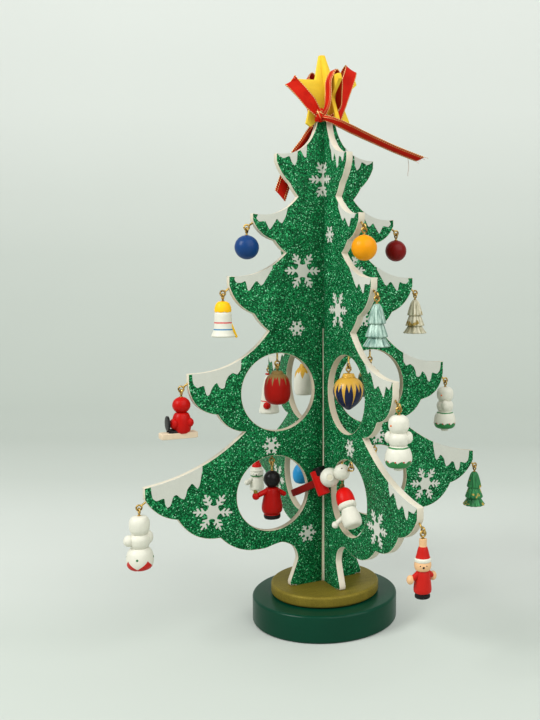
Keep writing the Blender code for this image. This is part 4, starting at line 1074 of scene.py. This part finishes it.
def snowman(body, eyes_at):
    wide, tall = 12.7 / 2, 24.4
    shape = hung()
    finish = paint(f"snowman_{body[0]}", WHITE_TONE, (
        ("petals", 0.90, -0.05, 10, 0.6, 0.25, tone(44, 122, 66)),
        ("band", 0.605, 0.63, tone(44, 122, 66))), roughness=0.3, coat=0.15)
    shape.turned(profile(SNOWMAN, 12.7, tall, TOP), 1, CAMERA_SIDE[body[0]], segments=64)
    for sign in (1, -1):
        shape.grid(globe((sign * 0.40 * wide, sign * 0.58 * wide, TOP - 0.43 * tall), (2.15, 2.15, 2.9)), 2)
    shape.grid(limb((0, 0, TOP - 0.96 * tall), (0, 0, TOP - 1.05 * tall), 2.25, dome=0.25), 2)
    for apart in (-19, 19):
        dab(shape, 4.55, eyes_at + apart, TOP - 0.145 * tall, 0.42, 3, lean=0.25)
    centre, way = around(4.7, eyes_at, TOP - 0.19 * tall)
    shape.grid(limb(centre, centre + way * 0.7, 0.55, 0.2), 4)
    for degrees in np.arange(0, 360, 36) + 18:
        dab(shape, 0.985 * wide, CAMERA_SIDE[body[0]] + degrees, TOP - 0.865 * tall, 0.45, 5)
    nose = paint(f"nose_{body[0]}", tone(226, 108, 30))
    ornament(shape, body, [finish, WHITE, BLACK, nose, RED], "white_paint")


snowman("f4_snowman", -78.0)
snowman("r4_snowman", -150.0)

wide, tall = 13.0 / 2, 26.4
shape = hung()
L5 = (
    (0.30, 0.004), (0.56, 0.025), (0.72, 0.09), (0.76, 0.17), (0.72, 0.26), (0.60, 0.322), (0.54, 0.34),
    (0.54, 0.34), (0.66, 0.362), (0.77, 0.41), (0.79, 0.46), (0.74, 0.53), (0.64, 0.585), (0.60, 0.595),
    (0.60, 0.595), (0.74, 0.62), (0.92, 0.69), (1.0, 0.78), (1.0, 0.86), (0.94, 0.93), (0.80, 0.98),
    (0.66, 1.0), (0.66, 1.0),
)
hem = paint("snowman_l", WHITE_TONE, (
    ("petals", 0.80, 0.16, 4, 0.75, 0.5, tone(190, 36, 28)),), roughness=0.3, coat=0.15)
shape.turned(profile(L5, 13.0, tall, TOP), 1, CAMERA_SIDE["l"], segments=72)
shape.grid(globe((0.79 * wide, 0, TOP - 0.45 * tall), (2.65, 2.6, 2.8)), 2)
shape.grid(globe((-0.66 * wide, 0, TOP - 0.42 * tall), (2.2, 2.6, 3.3)), 2)
for degrees in (0, 90, 180, 270):
    dab(shape, 0.985 * wide, CAMERA_SIDE["l"] + degrees, TOP - 0.775 * tall, 0.62, 3)
for apart in (-18, 18):
    dab(shape, 4.65, CAMERA_SIDE["l"] + 75 + apart, TOP - 0.145 * tall, 0.42, 4)
ornament(shape, "l5_snowman", [hem, WHITE, GREEN, BLACK], "white_paint")

# The gowned figure with a red ball
wide, tall = 12.5 / 2, 24.6
shape = hung()
GOWN = (
    (0.36, 0.0), (0.36, 0.03), (0.36, 0.03), (0.24, 0.04), (0.24, 0.04), (0.34, 0.09), (0.48, 0.18),
    (0.62, 0.32), (0.74, 0.52), (0.82, 0.70), (0.92, 0.86), (1.0, 0.95), (0.96, 0.985), (0.82, 1.0),
    (0.82, 1.0),
)
gown = paint("gown_white", WHITE_TONE, (("above", 0.035, RED_TONE), ("band", 0.67, 0.695, tone(200, 50, 44))))
shape.turned(profile(GOWN, 12.5, tall, TOP), 1, CAMERA_SIDE["b"], segments=64)
shape.grid(globe((-0.64 * wide, 0.50 * wide, TOP - 0.79 * tall), (2.3, 2.3, 2.3)), 2)
ornament(shape, "b4_figure", [gown, RED], "white_paint")

# The hatted figures
HATTED = (
    (0.38, 0.0), (0.42, 0.02), (0.42, 0.115), (0.46, 0.13), (0.46, 0.13), (0.58, 0.18), (0.72, 0.27),
    (0.82, 0.315), (0.82, 0.315), (0.92, 0.335), (0.92, 0.365), (0.86, 0.385), (0.86, 0.385), (0.94, 0.42),
    (0.94, 0.46), (0.84, 0.515), (0.66, 0.535), (0.66, 0.535), (0.80, 0.60), (0.92, 0.72), (1.0, 0.84),
    (0.96, 0.895), (0.86, 0.91), (0.86, 0.91), (0.80, 0.925), (0.86, 0.96), (0.84, 0.99), (0.74, 1.0),
    (0.74, 1.0),
)


def hatted(body, width, tall, marks, coat, hand):
    wide, facing = width / 2, CAMERA_SIDE[body[0]]
    shape = hung()
    shape.turned(profile(HATTED, width, tall, TOP), 1, facing, segments=56)
    for side in (1, -1):
        shoulder = (0, side * 0.55 * wide, TOP - 0.575 * tall)
        wrist = (-0.12 * wide, side * 1.25 * wide, TOP - 0.655 * tall)
        shape.grid(limb(shoulder, wrist, 0.34 * wide, 0.30 * wide), 2)
        fist = (-0.2 * wide, side * 1.46 * wide, TOP - 0.67 * tall)
        shape.grid(globe(fist, (0.42 * wide, 0.42 * wide, 0.08 * tall)), 3)
    dab(shape, 0.93 * wide, facing, TOP - 0.45 * tall, 0.5, 4, 0.4)
    for apart in (-22, 22):
        dab(shape, 0.92 * wide, facing + apart, TOP - 0.425 * tall, 0.3, 4)
    finish = paint(f"figure_{body[0]}", coat, marks)
    ornament(shape, body, [finish, paint(f"sleeve_{body[0]}", coat), hand, BLACK], "red_paint")


hatted("f5_figure", 8.2, 27.0, (
    ("above", 0.128, BEIGE_TONE), ("band", 0.315, 0.385, WHITE_TONE), ("band", 0.385, 0.53, BEIGE_TONE),
    ("below", 0.91, BLACK_TONE)), tone(186, 30, 22), BEIGE)
hatted("b5_figure", 9.2, 22.5, (
    ("above", 0.25, tone(190, 22, 16)), ("band", 0.475, 0.515, tone(44, 122, 66))),
    WHITE_TONE, WHITE)

# The soldier in wing l's lower hole
wide, tall, thread = 10.9 / 2, 25.5, 1.2
head = TOP - thread
shape = hung(thread)
shape.grid(globe((0, 0, head - 4.55), (4.4, 4.4, 4.6), CAMERA_SIDE["l"], 48, 31), 1)
COAT = (
    (0.40, 0.35), (0.62, 0.37), (0.74, 0.44), (0.82, 0.54), (0.95, 0.68), (1.0, 0.76), (0.96, 0.84),
    (0.82, 0.885), (0.74, 0.895), (0.74, 0.895), (0.80, 0.915), (0.80, 0.97), (0.72, 1.0), (0.72, 1.0),
)
coat = paint("coat_red", tone(156, 10, 4), (("below", 0.865, BLACK_TONE),))
shape.turned(profile(COAT, 10.9, tall, head), 2, CAMERA_SIDE["l"], segments=56)
shape.grid(limb((0.45 * wide, 0, head - 0.41 * tall), (1.50 * wide, 0, head - 0.495 * tall), 1.5, 1.35), 3)
shape.grid(globe((1.64 * wide, 0, head - 0.50 * tall), (1.95, 1.9, 2.0)), 3)
shape.grid(limb((1.60 * wide, 0.1, head - 0.455 * tall), (1.72 * wide, 0.1, head - 0.40 * tall), 0.95), 4)
shape.grid(limb((-0.45 * wide, 0, head - 0.42 * tall), (-1.22 * wide, 0, head - 0.52 * tall), 1.4, 1.35), 3)
dab(shape, 4.3, CAMERA_SIDE["l"] + 160, head - 4.9, 1.9, 5, 0.3)
ornament(shape, "l_lower_soldier", [BLACK, coat, RED, OLIVE, BEIGE], "red_paint")

# The bear, tilted from its thread
wide, tall, thread = 10.0 / 2, 21.5, 7.5
neck = TOP - thread
bear = Shape()
BEAR_HAT = (
    (0.30, 0.0), (0.58, 0.03), (0.80, 0.11), (0.93, 0.23), (0.95, 0.34), (0.90, 0.405), (0.84, 0.42),
    (0.84, 0.42),
)
BRIM = (
    (0.80, 0.395), (0.80, 0.395), (0.94, 0.41), (0.97, 0.45), (0.93, 0.50), (0.80, 0.53), (0.70, 0.54),
    (0.70, 0.54),
)
BEAR_BODY = (
    (0.60, 0.52), (0.76, 0.55), (0.88, 0.64), (0.98, 0.76), (1.0, 0.86), (0.93, 0.95), (0.76, 0.995),
    (0.60, 1.0), (0.60, 1.0),
)
for shares, finish in ((BEAR_HAT, 1), (BRIM, 2), (BEAR_BODY, 2)):
    bear.turned(profile(shares, 10.0, tall, neck), finish, CAMERA_SIDE["f"], segments=56)
bear.grid(hoop((0, 0, neck - 0.545 * tall), (0, 0, 1), 0.68 * wide, 0.45, 40, 10), 3)
shoulder = (-0.20 * wide, -0.3 * wide, neck - 0.66 * tall)
bear.grid(limb(shoulder, (-0.74 * wide, -1.5 * wide, neck - 0.80 * tall), 1.3, 1.2), 2)
bear.grid(globe((-0.78 * wide, -1.6 * wide, neck - 0.82 * tall), (1.7, 1.7, 1.8)), 2)
for degrees in (40, 140):
    centre, way = around(0.75 * wide, CAMERA_SIDE["f"] + degrees, neck - 0.46 * tall)
    bear.grid(globe(centre + way * 0.9, (1.1, 1.1, 1.2)), 2)
bear.points = [turned_by(points, (0, 1, 0), -38.0, (0, 0, neck)) for points in bear.points]
bear.grid(hoop((0, 0, -0.25), (1, 0, 0), 1.3, 0.35))
bear.grid(limb((0, 0, -1.45), (0, 0, neck - 1.0), 0.4, dome=0.5, segments=14))
bear.grid(hoop((0, 0, -2.6), (0, 1, 0), 1.15, 0.3))
bear.grid(hoop((0, 0, neck + 1.2), (1, 0, 0), 1.15, 0.32))
scarf = paint("scarf_sage", tone(150, 160, 140))
hat = paint("hat_scarlet", tone(206, 14, 8), roughness=0.4, coat=0.05)
ornament(bear, "f_lower_bear", [hat, WHITE, scarf], "white_paint")

# The doll that lies across the corner
hinge = HINGES["doll"]
crossing = np.array([-(0.316 * REACH - 19.9 + 3.8), 0.0, on_panel(HOLES[1][0])[1] - 0.7])
way = crossing - hinge
level = math.hypot(way[0], way[1])
heading = math.degrees(math.atan2(-way[0], way[1]))
lift = math.degrees(math.atan2(level, -way[2]))
span = np.linalg.norm(way) + 5.0
head_z = TOP - 4.25
torso_z = head_z - 4.25 - 5.0 + 0.5
barrel_z = torso_z - 5.0 - 3.4 + 1.0


def lying(grid):
    """From the doll's own upright frame to where it lies."""
    return turned_by(turned_by(grid, (1, 0, 0), lift), (0, 0, 1), heading)


to_camera = CAMERA_PLACE - (hinge + way * 0.4)
back = Matrix.Rotation(math.radians(-lift), 3, "X") @ Matrix.Rotation(math.radians(-heading), 3, "Z")
to_camera = np.array(back) @ (to_camera / np.linalg.norm(to_camera))
shape = Shape()
ring_way = (math.sin(math.radians(heading)), math.cos(math.radians(heading)), 0)
shape.grid(hoop((0, 0, -0.25), ring_way, 1.3, 0.35))
shape.grid(limb((0, 0, -1.4), lying(np.array([0, 0, head_z + 3.4])), 0.42, dome=0.5, segments=14))
torso = np.array([0, 0, torso_z])
inner = [
    (globe((0, 0, head_z), (4.25,) * 3, 0, 48, 31), 1),
    (globe(torso, (5.1, 5.1, 5.0), 0, 48, 31), 1),
    (limb((0, 5.9, barrel_z), (0, -6.9, barrel_z), 3.3, dome=0.12, segments=40), 2),
    (slab((0, 5.0, barrel_z + 2.2), (5.4, 4.6, 5.0), 0.2), 3),
    (slab((0, 0, (barrel_z - span) / 2), (3.8, 3.8, span + barrel_z), 0.12), 4),
    (hoop(torso + to_camera * 4.85, to_camera, 1.75, 0.32, 36, 10), 1),
    (spot(torso + to_camera * 4.9, to_camera, 1.6, 0.22), 5),
]
eye_way = to_camera + np.array([0.0, 0.55, 0.25])
eye_way /= np.linalg.norm(eye_way)
inner.append((spot(np.array([0, 0, head_z]) + eye_way * 4.2, eye_way, 0.35), 3))
for grid, finish in inner:
    shape.grid(lying(grid), finish)
materials = [BRASS, WHITE, RED, BLACK, DEEP_RED, paint("disc_cream", tone(214, 208, 186))]
shape.build("doll", materials, "doll", ("ornament_doll",), "white_paint", hinge=hinge)


# The star: two plates slotted across each other

STAR_RADIUS, STAR_INNER, STAR_TIP_HALF, STAR_THICK, STAR_LEAN = 19.4, 0.45, 1.5, 2.15, -6.0
STAR_Z = PANEL_TOP + 1.4 + STAR_INNER * STAR_RADIUS


def star_paint(name, colour):
    """Yellow paint on plywood: brush streaks and a fine grain."""
    made = Mixer(name, roughness=0.46, specular=0.05)
    streak = made.noise(140.0, 3.0, place=made.stretched((1.0, 1.0, 4.0)))
    fine = made.noise(1200.0, 2.0)
    shade = made.shaded(made.shaded(colour, streak, 0.85, 1.06), fine, 0.93, 1.03)
    return made.done(shade, made.bump(streak, 0.1, 0.4))


def star_plate(name, node, degrees, slot_up, material):
    point = np.arange(5)[:, None]
    angle = np.pi / 2 + 2 * np.pi * point / 5
    half_tip = math.asin(STAR_TIP_HALF / STAR_RADIUS)
    turns = np.hstack([angle - half_tip, angle + half_tip, angle + np.pi / 5]).ravel()
    reaches = np.tile([STAR_RADIUS, STAR_RADIUS, STAR_INNER * STAR_RADIUS], 5)
    outline = np.stack([reaches * np.cos(turns), reaches * np.sin(turns)], 1)
    blank = loose(Shape().plate(outline, -STAR_THICK / 2, STAR_THICK / 2))
    slot, end = STAR_THICK / 2 + 0.04, STAR_RADIUS + 2
    low, high = (0.0, end) if slot_up else (-end, 0.04)
    eased = baked(blank, name, [], 0.25)
    plate = baked(eased, name, [loose(box_shape((-slot, -4.0, low), (slot, 4.0, high)))], 0.0)
    lean = Matrix.Translation((0, 0, STAR_Z * MM)) @ Matrix.Rotation(math.radians(STAR_LEAN), 4, "Y")
    plate.data.transform(lean @ Matrix.Rotation(math.radians(degrees), 4, "Z"))
    finished(plate.data, [material], 30)
    dress(plate, "tree", (node,))


star_plate("star_one", "star_plate_1", 0.0, False, star_paint("star_lemon", tone(240, 206, 62)))
# Plate two's slightly deeper yellow is painted shade: both plates are the same yellow paint
star_plate("star_two", "star_plate_2", 90.0, True, star_paint("star_lemon_shaded", tone(238, 196, 54)))


# The ribbon

BAND_Z, RIBBON_HALF, BOW_REACH = PANEL_TOP - 8.5, 3.4, 30.0
KNOT, KNOT_RADII = (-5.2, -5.2, 268.7), (2.8, 2.8, 3.2)
BAND_RADIUS, BAND_MIDDLE = 6.15, 266.6
# Each strip: the way its width lies, whether it is a loop, its route as shares of the bow's reach from the
# neck and, for the tails, how wide it is and the way its width lies at first
STRIPS = (
    ((0.75, 0.0, 0.66), True, (
        (-0.175, -0.180, 0.190), (-0.345, -0.205, 0.370), (-0.540, -0.185, 0.575), (-0.698, -0.128, 0.740),
        (-0.515, -0.102, 0.600), (-0.325, -0.107, 0.430), (-0.170, -0.150, 0.210))),
    ((0.0, 1.0, 0.0), True, (
        (-0.145, -0.200, 0.190), (-0.112, -0.320, 0.370), (-0.104, -0.345, 0.580), (-0.098, -0.350, 0.780),
        (0.000, -0.360, 0.950), (0.095, -0.350, 0.790), (0.104, -0.330, 0.580), (0.100, -0.280, 0.330),
        (-0.060, -0.260, 0.180))),
    ((0.9, 0.0, -0.45), True, (
        (0.140, -0.150, 0.080), (0.190, -0.120, 0.250), (0.258, -0.102, 0.490), (0.355, -0.100, 0.750),
        (0.450, -0.082, 0.990), (0.505, 0.000, 1.110), (0.450, 0.082, 0.990), (0.355, 0.100, 0.750),
        (0.258, 0.102, 0.490), (0.190, 0.120, 0.250), (0.140, 0.150, 0.080))),
    ((0.0, 0.87, -0.5), True, (
        (-0.140, 0.150, 0.100), (-0.122, 0.270, 0.260), (-0.110, 0.365, 0.440), (-0.110, 0.470, 0.690),
        (-0.080, 0.570, 0.930), (0.000, 0.610, 1.020), (0.082, 0.570, 0.920), (0.100, 0.470, 0.680),
        (0.108, 0.365, 0.440), (0.122, 0.270, 0.260), (0.140, 0.150, 0.100))),
    ((-0.36, -0.74, 0.57), False, (
        (-0.160, -0.200, 0.180), (-0.040, -0.370, 0.120), (0.180, -0.410, 0.040), (0.460, -0.400, -0.050),
        (0.780, -0.430, -0.160), (1.130, -0.545, -0.302), (1.500, -0.735, -0.455)), 0.76),
    ((0.87, 0.0, -0.5), False, (
        (-0.150, 0.120, 0.130), (-0.205, 0.145, 0.000), (-0.310, 0.155, -0.170), (-0.470, 0.170, -0.430),
        (-0.625, 0.190, -0.770), (-0.755, 0.220, -1.150)), 1.0, (0.85, 0.75, -0.3)),
)


def stitched(shape, strand, radius, finish, sides=6):
    """Adds a thread whose pattern runs along its length."""
    down = lengths(strand)
    shape.grid(tube(strand, radius, sides), finish, np.concatenate([[0.0], down, down[-1:]]))


def ribbon_strip(shape, width_way, looped, route, wide=1.0, first_way=None):
    """A ribbon strip: its width stands square to the route, narrows where it is gathered, and is cupped and
    pleated there: the lift is cup (1 - s^2) + pleat cos(3 pi s), s from -1 to 1 across. A gold thread runs
    along each edge."""
    path = smooth(np.array(route) * BOW_REACH + (0, 0, BAND_Z), 14)
    along = np.gradient(path, axis=0)
    along /= np.linalg.norm(along, axis=1)[:, None]
    share = lengths(path) / lengths(path)[-1]
    first_way = width_way if first_way is None else first_way
    turning = np.clip((share - 0.3) / 0.35, 0, 1)[:, None]
    way = (1 - turning) * np.asarray(first_way, float) + turning * np.asarray(width_way, float)
    across = way - along * (along * way).sum(1)[:, None]
    across /= np.linalg.norm(across, axis=1)[:, None]
    normal = np.cross(along, across)
    gather = np.minimum(1.0, 0.45 + 3 * share)
    if looped:
        gather = np.minimum(gather, 0.45 + 3 * (1 - share))
    half = RIBBON_HALF * wide * gather
    side = np.linspace(-1, 1, 15)
    crowd = 1 - (gather - 0.45) / 0.55
    lift = 0.35 * (1 - side**2) + crowd[:, None] * 0.5 * np.cos(3 * np.pi * side)
    middle = path[:, None] + across[:, None] * (half[:, None] * side)[..., None]
    middle += normal[:, None] * lift[..., None]
    if not looped:
        slant = np.zeros(len(path))
        slant[-12:] = np.linspace(0, 1, 12) ** 2
        middle += along[:, None] * (slant[:, None] * side * 1.7)[..., None]
    thick = 0.16 * normal[:, None] * np.ones((1, 15, 1))
    section = np.concatenate([middle + thick, (middle - thick)[:, ::-1], (middle + thick)[:, :1]], 1)
    flat = np.concatenate([middle, middle[:, ::-1], middle[:, :1]], 1)
    grid = np.concatenate([flat[:1], section, flat[-1:]])
    down = lengths(path)
    down = np.concatenate([down[:1], down, down[-1:]])
    rows, columns = grid.shape[:2]
    before = len(shape.pattern)
    shape.grid(grid, 0, down)
    mirror = np.concatenate([np.linspace(0, 1, 15), np.linspace(1, 0, 15), [0.0]])
    at = np.rint(shape.pattern[before][:, 0] * (columns - 1)).astype(int)
    shape.pattern[before][:, 0] = mirror[at]
    for edge in (0, -1):
        stitched(shape, middle[:, edge] + normal * 0.02, 0.27, 1, 8)
    for inset in (2, -3):
        stitched(shape, middle[:, inset] + normal * 0.17, 0.16, 1)
    return middle, along


ribbon = Shape()
SATIN = satin("ribbon_satin", tone(222, 42, 20), tone(166, 12, 6))
THREAD = gold_thread("ribbon_thread", tone(236, 196, 128), tone(160, 40, 20))
made_strips = [ribbon_strip(ribbon, *row) for row in STRIPS]
# The band round the neck, drawn together into folds
turn = np.linspace(0, 2 * np.pi, 121)
tilt = np.linspace(0, 2 * np.pi, 25)
fold = 0.10 * np.sin(5 * tilt)[:, None] * (1 + 0.4 * np.sin(3 * turn))[None]
reach = BAND_RADIUS + (0.36 * np.cos(tilt))[:, None] + fold
band = np.stack([reach * np.cos(turn), reach * np.sin(turn),
                 BAND_MIDDLE + (0.8 * np.sin(tilt))[:, None] + 0 * turn], -1)
ribbon.grid(band, 0)
# The knot: a wrapped ball with creases that run over it, and turns of gold thread across it
knot = globe((0, 0, 0), (1, 1, 1), 0, 64, 41)
crease = 1 + 0.13 * np.cos(6 * np.arctan2(knot[..., 1], knot[..., 0]) + 3.0 * knot[..., 2])
ribbon.grid(knot * crease[..., None] * KNOT_RADII + KNOT, 0)
for axis, size in (((0.5, 0.1, 1.0), 2.95), ((-0.2, 0.6, 0.9), 2.9), ((0.9, -0.7, 0.5), 3.05)):
    ribbon.grid(hoop(KNOT, axis, size, 0.24, 48, 8), 1)
# The notched end of the long tail, with short loose threads, and one that hangs from its lower edge
middle, along = made_strips[4]
t = np.linspace(0, 1, 12)[:, None]
# Each thread: the column of the ribbon it comes from, its length, the way it curls and its finish
for column, length, curl, finish in (
    (0, 1.9, (0.1, 0.3, -0.9), 1), (3, 1.2, (0.2, -0.2, 0.4), 0), (7, 0.9, (0.0, 0.4, 0.2), 1),
    (11, 1.4, (0.3, 0.0, -0.5), 0), (14, 2.2, (0.5, -0.1, 0.35), 1),
):
    bend = np.array(curl) * length * 0.35 * np.sin(2.4 * t) * t
    stitched(ribbon, middle[-1, column] + along[-1] * length * t + bend, 0.09, finish)
t = np.linspace(0, 1, 24)[:, None]
sway = np.array([0.7, 0.4, 0.0]) * np.sin(5.0 * t) * (0.3 + t)
stitched(ribbon, middle[-8, 0] + np.array([0.5, -0.3, -9.6]) * t + sway, 0.17, 2)
LOOSE_THREAD = paint("loose_thread", tone(176, 160, 148))
ribbon.build("ribbon_tied", [SATIN, THREAD, LOOSE_THREAD], "tree", ("ribbon_bow",), "ribbon_red", sharp=60)


# Camera, light and stage

camera = linked("camera", bpy.data.cameras.new("camera"))
camera.matrix_world = (
    Matrix.Translation(Vector(CAMERA_PLACE * MM))
    @ Matrix.Rotation(math.radians(-31.25), 4, "Z")
    @ Matrix.Rotation(math.radians(90 - 5.42), 4, "X")
    @ Matrix.Rotation(math.radians(0.5), 4, "Z")
)
camera.data.lens, camera.data.sensor_width = 43.56, 36.0
camera.data.shift_x, camera.data.shift_y = -0.1885, 0.0
camera.data.clip_start = 0.01
bpy.context.scene.camera = camera
bpy.context.scene.view_settings.view_transform = "Standard"


def soft_lamp(name, side, height, distance, size, power):
    """A soft square lamp at this angle from the camera's side, turned to the tree."""
    angle = math.radians(-116 + side)
    up = math.radians(height)
    way = Vector((math.cos(angle) * math.cos(up), math.sin(angle) * math.cos(up), math.sin(up)))
    lamp = linked(name, bpy.data.lights.new(name, "AREA"))
    lamp.data.shape, lamp.data.size, lamp.data.energy = "SQUARE", size, power
    turn = way.to_track_quat("Z", "Y").to_matrix().to_4x4()
    lamp.matrix_world = Matrix.Translation(way * distance + Vector((0, 0, 0.14))) @ turn


soft_lamp("lamp_left", -60.0, 36.0, 1.3, 0.6, 13.0)
soft_lamp("lamp_right", 40.0, 40.0, 1.3, 1.5, 14.5)

world = bpy.data.worlds.new("world")
bpy.context.scene.world = world
world.use_nodes = True
sky = world.node_tree.nodes["Background"].inputs
sky[0].default_value = (0.98, 1.0, 0.98, 1.0)
sky[1].default_value = 0.54

# The floor rises behind the tree in one sweep: flat, a quarter turn of radius 0.3 m, then upright
BACK = (0.519, 0.855)
way_back = np.array(BACK)
quarter = np.linspace(0, np.pi / 2, 33)
run = np.concatenate([[-1.6, -0.6, 0.0], 0.5 + 0.3 * np.sin(quarter), [0.8]])
rise = np.concatenate([[0.0, 0.0, 0.0], 0.3 * (1 - np.cos(quarter)), [2.2]])
width = np.linspace(-2.2, 2.2, 9)
side_way = np.array([BACK[1], -BACK[0]])
ground = run[:, None] * way_back[:, None, None] + width[None, :] * side_way[:, None, None]
sweep = np.stack([ground[0], ground[1], np.broadcast_to(rise[:, None], ground[0].shape)], -1)
floor_mesh = bpy.data.meshes.new("floor")
rows, columns = sweep.shape[:2]
index = np.arange(rows * columns).reshape(rows, columns)
quads = np.stack([index[:-1, :-1], index[:-1, 1:], index[1:, 1:], index[1:, :-1]], -1).reshape(-1, 4)
floor_mesh.from_pydata(sweep.reshape(-1, 3).tolist(), [], quads.tolist())
floor_mesh.shade_smooth()
floor = linked("floor", floor_mesh)
# Painted light: how much paler the paper glows towards the camera, at each distance back plus height, in
# metres
FLOOR_GLOW = ((-0.105, 0.055), (-0.078, 0.05), (-0.03, 0.06), (0.025, 0.13), (0.095, 0.16), (0.19, 0.14),
              (0.25, 0.11), (0.32, 0.07), (0.46, 0.055), (0.63, 0.0), (0.775, 0.005), (0.9, 0.026),
              (1.0, 0.062), (1.08, 0.125), (1.15, 0.167), (1.22, 0.205), (1.29, 0.215), (1.36, 0.235))
floor_mix = Mixer("floor_paper", roughness=0.75)
floor_tone = floor_mix.shaded(tone(185, 192, 184), floor_mix.noise(3.0, 2.0), 0.97, 1.02)
# Painted light: seen from the camera, the paper glows paler towards the top and on the floor, in place of
# uneven light on it; it gives off no more light
along, across, height = floor_mix.parts(floor_mix.place)
run = floor_mix.math("MULTIPLY", along, BACK[0])
run = floor_mix.math("MULTIPLY_ADD", across, BACK[1], run)
swept = floor_mix.math("MULTIPLY_ADD", floor_mix.math("ADD", run, height), 0.5, 0.25)
painted_glow = floor_mix.ramp(swept, [(0.25 + 0.5 * place, (glow, glow, glow)) for place, glow in FLOOR_GLOW])
rays = floor_mix.node("ShaderNodeLightPath").outputs
seen = floor_mix.math("ADD", rays["Is Camera Ray"], rays["Is Glossy Ray"], clamp=True)
seen = floor_mix.math("ADD", seen, rays["Is Transmission Ray"], clamp=True)
floor_mix.put(floor_mix.shader.inputs["Emission Color"], (1.0, 0.94, 0.98))
floor_mix.put(floor_mix.shader.inputs["Emission Strength"], floor_mix.math("MULTIPLY", painted_glow, seen))
floor_mesh.materials.append(floor_mix.done(floor_tone))
floor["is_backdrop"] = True

low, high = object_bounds()
